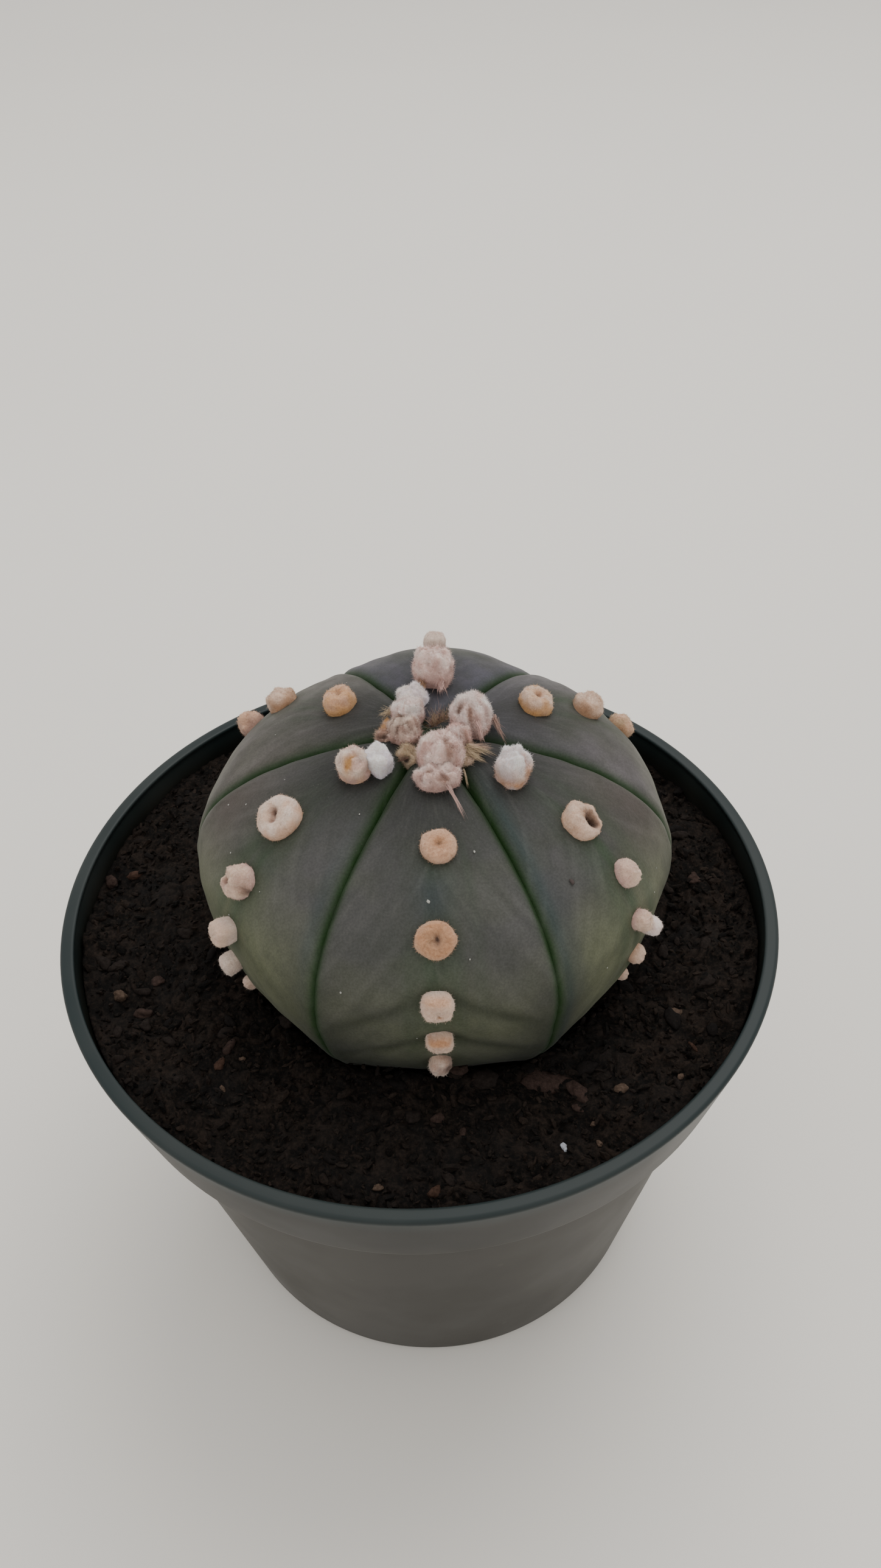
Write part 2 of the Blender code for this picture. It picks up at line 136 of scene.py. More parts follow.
def enclosed(points, triangles):
    """Volume inside a closed surface: the sum of the tetrahedra from the origin to each triangle."""
    a, b, c = (points[triangles[:, k]] for k in range(3))
    return np.einsum("ij,ij->i", a, np.cross(b, c)).sum() / 6


print("a globe of 3 by 4 points has", len(grid_quads(3, 4)), "quads and", len(pole_fans(3, 4)), "triangles")

# %% [markdown]
# Now the arrays have to become objects that Blender can show.
#
# from_pydata takes lists of points and faces, and is slow with large ones. foreach_set hands over whole
# arrays instead. Colours and places that belong to the points are kept as attributes, because these follow
# the surface wherever it bends.


# %% Pieces and their attributes
def mesh_piece(name, points, quads, triangles, finish, smooth=True):
    """A new object whose mesh is made from whole arrays of points and faces."""
    points = np.asarray(points, dtype=float).reshape(-1, 3)
    quads = np.asarray(quads, dtype=int).reshape(-1, 4)
    triangles = np.asarray(triangles, dtype=int).reshape(-1, 3)
    corners = np.concatenate([quads.ravel(), triangles.ravel()])
    starts = np.concatenate([4 * np.arange(len(quads)), 4 * len(quads) + 3 * np.arange(len(triangles))])
    mesh = bpy.data.meshes.new(name)
    mesh.vertices.add(len(points))
    mesh.vertices.foreach_set("co", points.astype(np.float32).ravel())
    mesh.loops.add(len(corners))
    mesh.loops.foreach_set("vertex_index", corners.astype(np.int32))
    mesh.polygons.add(len(starts))
    mesh.polygons.foreach_set("loop_start", starts.astype(np.int32))
    mesh.polygons.foreach_set("use_smooth", np.full(len(starts), smooth))
    mesh.update(calc_edges=True)
    mesh.materials.append(finish)
    made = bpy.data.objects.new(name, mesh)
    bpy.context.scene.collection.objects.link(made)
    split = np.concatenate([quads[:, [0, 1, 2]], quads[:, [0, 2, 3]], triangles])
    print(f"{name}: {len(split)} triangles, {enclosed(points, split) * 1e6:.3f} cm3")
    return made


def paint(piece, name, colours):
    """A colour for every point of a piece, kept as an attribute that its material reads."""
    layer = piece.data.color_attributes.new(name, "FLOAT_COLOR", "POINT")
    rgba = np.concatenate([colours.reshape(-1, 3), np.ones((colours.size // 3, 1))], axis=1)
    layer.data.foreach_set("color", rgba.astype(np.float32).ravel())


def place_attribute(piece, name, places):
    """Three numbers for every point of a piece, in whose space a pattern of its material lies."""
    layer = piece.data.attributes.new(name, "FLOAT_VECTOR", "POINT")
    layer.data.foreach_set("vector", places.astype(np.float32).ravel())


def tone_attribute(piece, values):
    """One number for every point of a piece, called its tone."""
    layer = piece.data.attributes.new("tone", "FLOAT", "POINT")
    layer.data.foreach_set("value", np.asarray(values, dtype=np.float32).ravel())


def finished(piece, replaced=None):
    """The piece rides with the pot, and may stand for a plain solid, which is then hidden."""
    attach(piece, "root")
    if replaced:
        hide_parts(replaced)


print("every piece keeps its object at the origin and its place in its mesh")

# %% [markdown]
# Natural surfaces are never even, so two kinds of unevenness are used all through.
#
# ripple adds up plane waves that run in all directions, which gives a soft random swell of one wavelength.
# pebbles gives rounded lumps packed side by side: each cell of a jittered lattice holds one lump, and a point
# takes the height of the highest lump there. Both work on whole arrays, and their random draws are seeded.


# %% Unevenness
def ripple(points, wavelength, seed, waves=18):
    """Sum of plane waves in random directions, each sin(2 pi distance along it / wavelength + phase).

    The sum is divided by the root of half the number of waves, so that its spread is about 1.
    """
    own = np.random.default_rng(seed)
    ways = own.normal(size=(waves, points.shape[-1]))
    ways /= np.linalg.norm(ways, axis=1, keepdims=True)
    ways *= 2 * math.pi / (wavelength * own.uniform(0.75, 1.35, (waves, 1)))
    phases = own.uniform(0, 2 * math.pi, waves)
    total = np.zeros(points.shape[:-1])
    for way, phase in zip(ways, phases):
        total += np.sin(points @ way + phase)
    return total / math.sqrt(waves / 2)


LATTICE = 128


def pebbles(x, y, size, seed):
    """Height and tone, both from 0 to 1, of the highest lump at each place, on a lattice of this cell size.

    A lump's height is sqrt(1 - (distance from its middle / radius)^2), less for a small one, and 0 outside it.
    The lattice repeats after LATTICE cells, which is too far for the eye to find.
    """
    own = np.random.default_rng(seed)
    table = own.uniform(size=(4, LATTICE, LATTICE))
    column, row = np.floor(x / size).astype(int), np.floor(y / size).astype(int)
    height, tone = np.zeros_like(x), np.zeros_like(x)
    for right_by in (-1, 0, 1):
        for up_by in (-1, 0, 1):
            cell = table[:, (column + right_by) % LATTICE, (row + up_by) % LATTICE]
            jitter_x, jitter_y, lump, own_tone = cell
            away = np.hypot(x / size - column - right_by - jitter_x, y / size - row - up_by - jitter_y)
            radius = 0.45 + 0.4 * lump
            here = np.sqrt(np.clip(1 - (away / radius) ** 2, 0, None)) * (0.35 + 0.65 * lump)
            tone = np.where(here > height, own_tone, tone)
            height = np.maximum(height, here)
    return height, tone


sample = np.linspace(0, 20 * MM, 400)
print("largest pebble height in a 20 mm line:", pebbles(sample, sample, 2 * MM, 1)[0].max().round(2))

# %% [markdown]
# Every finish is a Principled BSDF with a few texture nodes in front of it.
#
# The nodes could be wired by hand in the shader editor. The helpers below do the same in fewer words: one
# adds a node and links its inputs, and the others are the node patterns that come back in every finish.
# Patterns read Object coordinates, so they are sized in metres and stay put on the piece.


# %% Finish helpers
class Finish:
    """A material with its node tree, and short ways to add the nodes that a finish is made of."""

    def __init__(self, name, roughness, colour=(0.8, 0.8, 0.8)):
        self.material = bpy.data.materials.new(name)
        self.material.use_nodes = True
        self.tree = self.material.node_tree
        self.shader = self.tree.nodes["Principled BSDF"]
        self.shader.inputs["Roughness"].default_value = roughness
        self.shader.inputs["Base Color"].default_value = (*colour, 1.0)
        self.material.diffuse_color = (*colour, 1.0)
        self.where = self.add("ShaderNodeTexCoord").outputs["Object"]

    def add(self, kind, inputs=None, **settings):
        """A new node, with its settings and its inputs."""
        node = self.tree.nodes.new(kind)
        for key, value in settings.items():
            setattr(node, key, value)
        for key, value in (inputs or {}).items():
            self.feed(node.inputs[key], value)
        return node

    def feed(self, socket, value):
        """Links another node's output to a socket, or sets a plain value on it."""
        if isinstance(value, bpy.types.NodeSocket):
            self.tree.links.new(value, socket)
        elif hasattr(socket.default_value, "__len__") and len(value) < len(socket.default_value):
            socket.default_value = (*value, 1.0)
        else:
            socket.default_value = value

    def noise(self, size, detail=3.0, roughness=0.5, where=None):
        """Noise whose blobs are about this many metres wide."""
        inputs = {"Vector": where or self.where, "Scale": 1.0 / size,
                  "Detail": detail, "Roughness": roughness}
        return self.add("ShaderNodeTexNoise", inputs).outputs["Fac"]

    def cells(self, size):
        """Distance to the nearest of many scattered points, in shares of this size."""
        inputs = {"Vector": self.where, "Scale": 1.0 / size}
        return self.add("ShaderNodeTexVoronoi", inputs).outputs["Distance"]

    def step(self, value, low, high, start=0.0, end=1.0):
        """Maps low to high onto start to end, and stays within them."""
        node = self.add("ShaderNodeMapRange", {1: low, 2: high, 3: start, 4: end})
        self.feed(node.inputs[0], value)
        return node.outputs[0]

    def calculated(self, operation, first, second):
        """One calculation on two numbers."""
        node = self.add("ShaderNodeMath", operation=operation)
        self.feed(node.inputs[0], first)
        self.feed(node.inputs[1], second)
        return node.outputs[0]

    def times(self, first, second):
        return self.calculated("MULTIPLY", first, second)

    def plus(self, first, second):
        return self.calculated("ADD", first, second)

    def mixed(self, amount, first, second, blend="MIX"):
        """One colour laid over another by an amount."""
        node = self.add("ShaderNodeMix", data_type="RGBA", blend_type=blend)
        self.feed(node.inputs[0], amount)
        self.feed(node.inputs[6], first)
        self.feed(node.inputs[7], second)
        return node.outputs[2]

    def attribute(self, name, output="Color"):
        """What the piece's own attribute holds at each point."""
        return self.add("ShaderNodeAttribute", attribute_name=name).outputs[output]

    def stretched(self, scale, where):
        """Coordinates for a pattern, multiplied by a factor along each axis."""
        return self.add("ShaderNodeMapping", {"Vector": where, "Scale": scale}).outputs[0]

    def bump(self, height, distance, below=None):
        """Raises the surface's shading by a height pattern, this many metres high."""
        node = self.add("ShaderNodeBump", {"Height": height, "Distance": distance})
        if below:
            self.feed(node.inputs["Normal"], below)
        return node.outputs["Normal"]

    def set(self, **inputs):
        """Feeds the shader's own sockets, whose names are given with _ for each space."""
        for key, value in inputs.items():
            self.feed(self.shader.inputs[key.replace("_", " ")], value)


print("noise with blobs of 2 mm has a scale of", 1 / (2 * MM))

# %% [markdown]
# The pot is thin plastic, dark grey and a little glossy, with a rounded lip, a collar, a step and a tapered
# wall.
#
# It could be a cylinder with loop cuts. A turned profile is closer to how such a pot is designed: one
# outline, carried round the axis. The long straight runs get extra points near their ends, so that smooth
# shading stays flat along them and turns only at the rounded edges.

# %% Pot outline
POT_HEIGHT, RIM_RADIUS, RIM_WIDTH = 84.5 * MM, 60.0 * MM, 2.6 * MM
COLLAR_HEIGHT, COLLAR_FOOT_RADIUS = 16.2 * MM, 56.6 * MM
WALL_TOP_RADIUS, FOOT_RADIUS = 53.9 * MM, 42.8 * MM
COLLAR_WALL, WALL, FLOOR = 1.7 * MM, 1.4 * MM, 1.5 * MM
FOOT_RING_WIDTH, FOOT_RECESS = 6.0 * MM, 1.5 * MM
MIDDLE_DRAIN_RADIUS, DRAIN_RADIUS, DRAIN_CIRCLE, DRAINS = 4.5 * MM, 3.0 * MM, 26.0 * MM, 6
COLLAR_FOOT = POT_HEIGHT - COLLAR_HEIGHT
WALL_TOP = COLLAR_FOOT - 0.2 * MM
FLOOR_TOP = FOOT_RECESS + FLOOR
RING_INSIDE = FOOT_RADIUS - 1.0 * MM - FOOT_RING_WIDTH
SHORTEST_RUN, POINT_STEP, NEAR_END = 1.5 * MM, 3 * MM, 0.25 * MM


def inner_radius(height):
    """Radius of the pot's inner side, which has a ledge where the collar begins."""
    collar = np.interp(height, (COLLAR_FOOT, POT_HEIGHT), (COLLAR_FOOT_RADIUS, RIM_RADIUS)) - COLLAR_WALL
    wall = np.interp(height, (0.0, COLLAR_FOOT), (FOOT_RADIUS, WALL_TOP_RADIUS)) - WALL
    return np.where(np.asarray(height) > COLLAR_FOOT, collar, wall)


def rounded_outline(corners, steps=5):
    """A closed outline with each corner (radius, height, rounding) turned into a small curve.

    The curve is quadratic: it starts one rounding before the corner, ends one rounding after it, and is
    pulled towards the corner. Each straight run keeps a point near both ends and one about every 3 mm.
    """
    corners = np.array(corners)
    outline = []
    for before, corner, after in zip(np.roll(corners, 1, 0), corners, np.roll(corners, -1, 0)):
        back, on = before[:2] - corner[:2], after[:2] - corner[:2]
        length = np.linalg.norm(on)
        start = corner[:2] + back / np.linalg.norm(back) * corner[2]
        end = corner[:2] + on / length * corner[2]
        along = np.linspace(0, 1, steps)[:, None]
        outline.append((1 - along) ** 2 * start + 2 * along * (1 - along) * corner[:2] + along**2 * end)
        run = length - corner[2] - after[2]
        if run > SHORTEST_RUN:
            between = np.linspace(0, run, int(run / POINT_STEP) + 2)[1:-1]
            places = np.concatenate([[NEAR_END], between, [run - NEAR_END]])
            outline.append(end + on / length * places[:, None])
    return np.concatenate(outline)


pot_outline = rounded_outline([
    # the outside, from the rim down to the foot
    (RIM_RADIUS, POT_HEIGHT, 0.85 * MM),
    (COLLAR_FOOT_RADIUS, COLLAR_FOOT, 0.8 * MM),
    (WALL_TOP_RADIUS, WALL_TOP, 0.5 * MM),
    (FOOT_RADIUS, 0.0, 1.0 * MM),
    # the underside, with its ring and the drain hole in the middle
    (RING_INSIDE, 0.0, 0.3 * MM),
    (RING_INSIDE - 0.9 * MM, FOOT_RECESS, 0.4 * MM),
    (MIDDLE_DRAIN_RADIUS, FOOT_RECESS, 0.3 * MM),
    (MIDDLE_DRAIN_RADIUS, FLOOR_TOP, 0.3 * MM),
    # the inside, up to the rim
    (float(inner_radius(FLOOR_TOP)), FLOOR_TOP, 1.4 * MM),
    (float(inner_radius(WALL_TOP)), WALL_TOP, 0.3 * MM),
    (float(inner_radius(COLLAR_FOOT + 1.3 * MM)), COLLAR_FOOT + 1.3 * MM, 0.5 * MM),
    (float(inner_radius(POT_HEIGHT)) - 0.2 * MM, POT_HEIGHT - 1.6 * MM, 0.5 * MM),
    (RIM_RADIUS - RIM_WIDTH, POT_HEIGHT, 0.7 * MM),
])
print("points in the pot's outline:", len(pot_outline))

# %% [markdown]
# The plastic is smooth, but never perfect: the wall is slightly uneven, watering leaves a few pale dried
# spots, and there is a thin film of dust. The lip is the most teal. The collar is painted darkest, as painted
# shade, and the wall below it a warmer grey, as a painted reflection of the pale floor.
#
# A painted picture could show all that, but it would be fixed to one size and one light. Here the gloss comes
# from the shader and the lights, and the marks only change the roughness and a little of the colour.

# %% Pot finish
POT_TONE = {
    # wall: its warmer grey is a painted reflection of the pale floor
    "wall": (0.0175, 0.0162, 0.0122),
    # collar: its darker tone is painted shade
    "collar": (0.0064, 0.0070, 0.0057),
    "lip": (0.014, 0.022, 0.023),
    "dust": (0.19, 0.18, 0.16),
}


def pot_finish():
    """Satin plastic in three tones by height, under a film of dust and dried drops.

    The collar's darker tone is painted shade, and the wall's warmer grey is a painted reflection of the floor.
    """
    made = Finish("pot_plastic", 0.3, (0.05, 0.075, 0.08))
    dust = made.step(made.noise(22 * MM, 3.0, 0.5), 0.40, 0.80)
    spots = made.step(made.cells(9 * MM), 0.07, 0.04)
    spots = made.times(spots, made.step(made.noise(14 * MM, 2.0), 0.56, 0.64))
    film = made.plus(made.times(dust, 0.07), made.times(spots, 0.12))
    height = made.add("ShaderNodeSeparateXYZ", {0: made.where}).outputs[2]
    # the tones by height: a painted floor reflection on the wall, painted shade on the collar, then the teal
    # lip
    plastic = made.mixed(made.step(height, 66 * MM, 72 * MM), POT_TONE["wall"], POT_TONE["collar"])
    plastic = made.mixed(made.step(height, 80 * MM, 83.5 * MM), plastic, POT_TONE["lip"])
    made.set(Base_Color=made.mixed(film, plastic, POT_TONE["dust"]), Specular_IOR_Level=0.19,
             Roughness=made.step(dust, 0.0, 1.0, 0.36, 0.48),
             Normal=made.bump(made.noise(16 * MM, 1.0), 0.04 * MM))
    return made.material


pot_plastic = pot_finish()
print("nodes in the pot's finish:", len(pot_plastic.node_tree.nodes))

# %% [markdown]
# The outline is now turned into the shell of the pot, and the drain holes are bored through its floor.
#
# The Spin tool would turn an outline too, but it can leave a seam. Here the last column joins the first one.
# The holes are cut by a Boolean modifier with six cylinders as drills, and the cut mesh is kept, so that no
# drill has to stay in the file.

# %% Pot shell
POT_SIDES, DRILL_SIDES = 192, 32


def turned_shell(name, outline, sides, finish):
    """A closed outline of (radius, height) carried round the axis: x, y = radius * (cos, sin) of the turn."""
    turn = 2 * math.pi * np.arange(sides) / sides
    radius, height = outline[:, :1], outline[:, 1:]
    points = np.stack([radius * np.cos(turn), radius * np.sin(turn), height + 0 * turn], axis=-1)
    return mesh_piece(name, points, grid_quads(len(outline), sides, close_rows=True), [], finish)


pot_shell = turned_shell("pot_shell", pot_outline, POT_SIDES, pot_plastic)
drills = bpy.data.collections.new("drain_drills")
for number in range(DRAINS):
    angle = 2 * math.pi * number / DRAINS
    bpy.ops.mesh.primitive_cylinder_add(
        vertices=DRILL_SIDES, radius=DRAIN_RADIUS, depth=4 * FLOOR,
        location=(DRAIN_CIRCLE * math.cos(angle), DRAIN_CIRCLE * math.sin(angle), FOOT_RECESS + FLOOR / 2))
    drills.objects.link(bpy.context.object)
cut = pot_shell.modifiers.new("Drain holes", "BOOLEAN")
cut.operand_type, cut.collection = "COLLECTION", drills
bored = bpy.data.meshes.new_from_object(pot_shell.evaluated_get(bpy.context.evaluated_depsgraph_get()))
pot_shell.modifiers.clear()
pot_shell.data = bored
for drill in list(drills.objects):
    bpy.data.objects.remove(drill)
bpy.data.collections.remove(drills)
finished(pot_shell, "pot")
print("faces of the bored pot:", len(pot_shell.data.polygons))

# %% [markdown]
# The body of a star cactus is a low dome whose ribs meet in narrow furrows.
#
# It could be sculpted, but its form follows a short rule. Seen from its middle, a point's distance is a
# superellipse of its latitude, flatter than a ball on top. On top each rib sinks towards its two furrows, and
# low down its middle is the flatter part, so that the foot is nearly a hexagon. A crease follows each furrow.
# The growing point leans back a little.

# %% Body form
RIBS = ("front", "front_right", "right", "back", "left", "front_left")
FURROWS = np.radians((-119.6, -65.0, -10.0, 53.8, 115.9, 179.7))
BODY_MIDDLE = np.array((2.9, -1.0, 98.0)) * MM
BODY_RADIUS = 37.1 * MM
SHOULDER_HEIGHT, SHOULDER_POWER = 20.7 * MM, 2.23
UNDERSIDE_DEPTH, UNDERSIDE_POWER = 38.3 * MM, 1.88
CROWN_SHIFT = (0.2 * MM, 2.3 * MM)
BACK_HUMP = 1.5 * MM
RIB_SWELL, RIB_SWELL_ABOVE, RIB_SWELL_BELOW, RIB_SWELL_POWER = -0.028, 0.125, 0.052, 3.0
CREASE_DEPTH, CREASE_DEEPER, CREASE_WIDTH, CREASE_START = 0.65 * MM, 0.45 * MM, 0.62 * MM, 6.0 * MM


def rib_place(azimuth):
    """The rib at an azimuth, and the place across it: -1 and 1 at its furrows, 0 on its crest."""
    ends = np.append(FURROWS[1:], FURROWS[0] + 2 * math.pi)
    turned = np.mod(azimuth - FURROWS[0], 2 * math.pi) + FURROWS[0]
    rib = np.clip(np.searchsorted(FURROWS, turned, side="right") - 1, 0, len(RIBS) - 1)
    return rib, 2 * (turned - FURROWS[rib]) / (ends[rib] - FURROWS[rib]) - 1


def rib_azimuth(rib, across):
    """The azimuth of a place across a rib, the inverse of rib_place."""
    ends = np.append(FURROWS[1:], FURROWS[0] + 2 * math.pi)
    return FURROWS[rib] + (np.asarray(across) + 1) / 2 * (ends[rib] - FURROWS[rib])


def skin_point(azimuth, latitude, grown=0.0, across=None):
    """A point of the skin seen from the body's middle.

    Reach = ((cos latitude / radius)^p + (sin latitude / height)^p)^(-1/p), less the rib's sinking with the
    cube of the place across it, less the crease, which dies away as exp(-distance to the furrow / width),
    plus the hump of the back rib, as the sine of twice the latitude, and what is grown on. The crown is
    shifted back with the square of its height.
    """
    above = latitude > 0
    power = np.where(above, SHOULDER_POWER, UNDERSIDE_POWER)
    tall = np.where(above, SHOULDER_HEIGHT, UNDERSIDE_DEPTH)
    level, rise = np.cos(latitude).clip(1e-9), np.sin(latitude)
    plain = ((level / BODY_RADIUS) ** power + (np.abs(rise) / tall) ** power) ** (-1 / power)
    rib, own_across = rib_place(azimuth)
    across = np.abs(own_across if across is None else across)
    hump = BACK_HUMP * (rib == RIBS.index("back")) * (1 - across**2) ** 2 * np.clip(2 * rise * level, 0, None)
    swell = RIB_SWELL + np.where(above, RIB_SWELL_ABOVE, RIB_SWELL_BELOW) * rise
    sunk = 1 - swell * np.sqrt(level) * across**RIB_SWELL_POWER
    from_furrow = (1 - across) * plain * level * math.pi / len(RIBS)
    crease = (CREASE_DEPTH + CREASE_DEEPER * rise) * np.clip(plain * level / CREASE_START, 0, 1)
    reach = plain * sunk - crease * np.exp(-from_furrow / CREASE_WIDTH) + hump + grown
    lean = np.clip(reach * rise / SHOULDER_HEIGHT, 0, None) ** 2
    return np.stack([
        BODY_MIDDLE[0] + reach * level * np.cos(azimuth) + CROWN_SHIFT[0] * lean,
        BODY_MIDDLE[1] + reach * level * np.sin(azimuth) + CROWN_SHIFT[1] * lean,
        BODY_MIDDLE[2] + reach * rise], axis=-1)


print("crown of the body:", skin_point(np.array(0.0), np.radians(90.0)).round(4))

# %% [markdown]
# Everything that grows on the skin is placed along a crest: so many millimetres down from the crown, and so
# many to one side.
#
# An object could be snapped to the faces of the body by hand. Here the formula itself is walked down the
# crest, and the differences between close points give the directions east, north and outward there.

# %% Places on the crests
NUDGE = 0.01


def unit(vectors):
    """Vectors of length 1 in the same directions."""
    return vectors / np.linalg.norm(vectors, axis=-1, keepdims=True)


def crest_frame(rib, run, aside):
    """The skin's point, east, north and outward directions at a distance down a crest from the crown."""
    latitude = np.radians(np.linspace(90, -60, 901))
    azimuth = np.full(latitude.shape, float(rib_azimuth(rib, 0.0)))
    line = skin_point(azimuth, latitude)
    walked = np.append(0, np.cumsum(np.linalg.norm(np.diff(line, axis=0), axis=1)))
    here = np.interp(run, walked, latitude)
    reach = max(np.hypot(*(line[np.searchsorted(walked, run)] - BODY_MIDDLE)[:2]), 4 * MM)
    turn = azimuth[0] + aside / reach
    low, high, west, east = (skin_point(np.array(turn + du), np.array(here + dv))
                             for du, dv in ((0, -NUDGE), (0, NUDGE), (-NUDGE, 0), (NUDGE, 0)))
    out = unit(np.cross(east - west, high - low))
    north = unit((high - low) - out * np.dot(high - low, out))
    return skin_point(np.array(turn), np.array(here)), np.cross(north, out), north, out


print("20 mm down the front crest:", crest_frame(RIBS.index("front"), 20 * MM, 0.0)[0].round(4))

# %% [markdown]
# The areoles are buttons of felted wool. They sit on the crests, on every other rib by turns, and get smaller
# and stand out further towards the soil. The oldest are pushed sideways into little drums.
#
# One ball could stand for all of them, but no two are alike: some are rings with a pit, some are blocks, some
# are split in two. So each one that is seen has its own line in a list of real sizes. A line says where the
# tuft sits, how wide, long and high it is, how square its profile and its plan are, where its pits are, and
# which wool it shows on top and round its side.

# %% Wool colours and the tuft
WOOL = {
    "white": (0.93, 0.82, 0.79),
    "snow": (0.93, 0.91, 0.92),
    "blush": (0.91, 0.73, 0.68),
    "lilac": (0.84, 0.79, 0.87),
    "ivory": (0.84, 0.70, 0.61),
    "cream": (0.78, 0.585, 0.465),
    "peach": (0.72, 0.46, 0.313),
    "apricot": (0.60, 0.335, 0.19),
    "tan": (0.50, 0.30, 0.18),
    "pink": (0.70, 0.47, 0.42),
    "rose": (0.42, 0.27, 0.22),
    "orange": (0.66, 0.37, 0.15),
    "ochre": (0.54, 0.42, 0.28),
    "brown": (0.18, 0.10, 0.07),
    # dark is laid into the deepest pits as painted shade in the holes
    "dark": (0.035, 0.018, 0.012),
}


@dataclass
class Tuft:
    """One button of wool. Its lengths are in mm.

    A pit is (east, north, half width, half length, depth, wool). Its first four numbers are shares of the
    tuft's half widths, and its depth is in mm. The pit's wool is laid in by the shape of the dip, so it is
    partly the wool's own stain and partly painted shade in the hollow, with the dark ones in the deepest
    holes. The stain is a second wool that shows in streaks, and how much of it shows.
    """

    rib: str
    run: float
    aside: float
    across: float
    along: float
    rise: float
    profile: float = 2.6
    plan: float = 2.1
    top: str = "cream"
    side: str = "pink"
    pits: tuple = ()
    lumps: float = 0.07
    fringe: float = 0.45
    upright: float = 0.0
    stain: tuple = ("pink", 0.25)


print(len(WOOL), "colours of wool")

# %% [markdown]
# The list of the areoles that are seen, by rib and by number down the crest. The even numbers are on the
# front, left and right ribs, and the odd ones on the others.

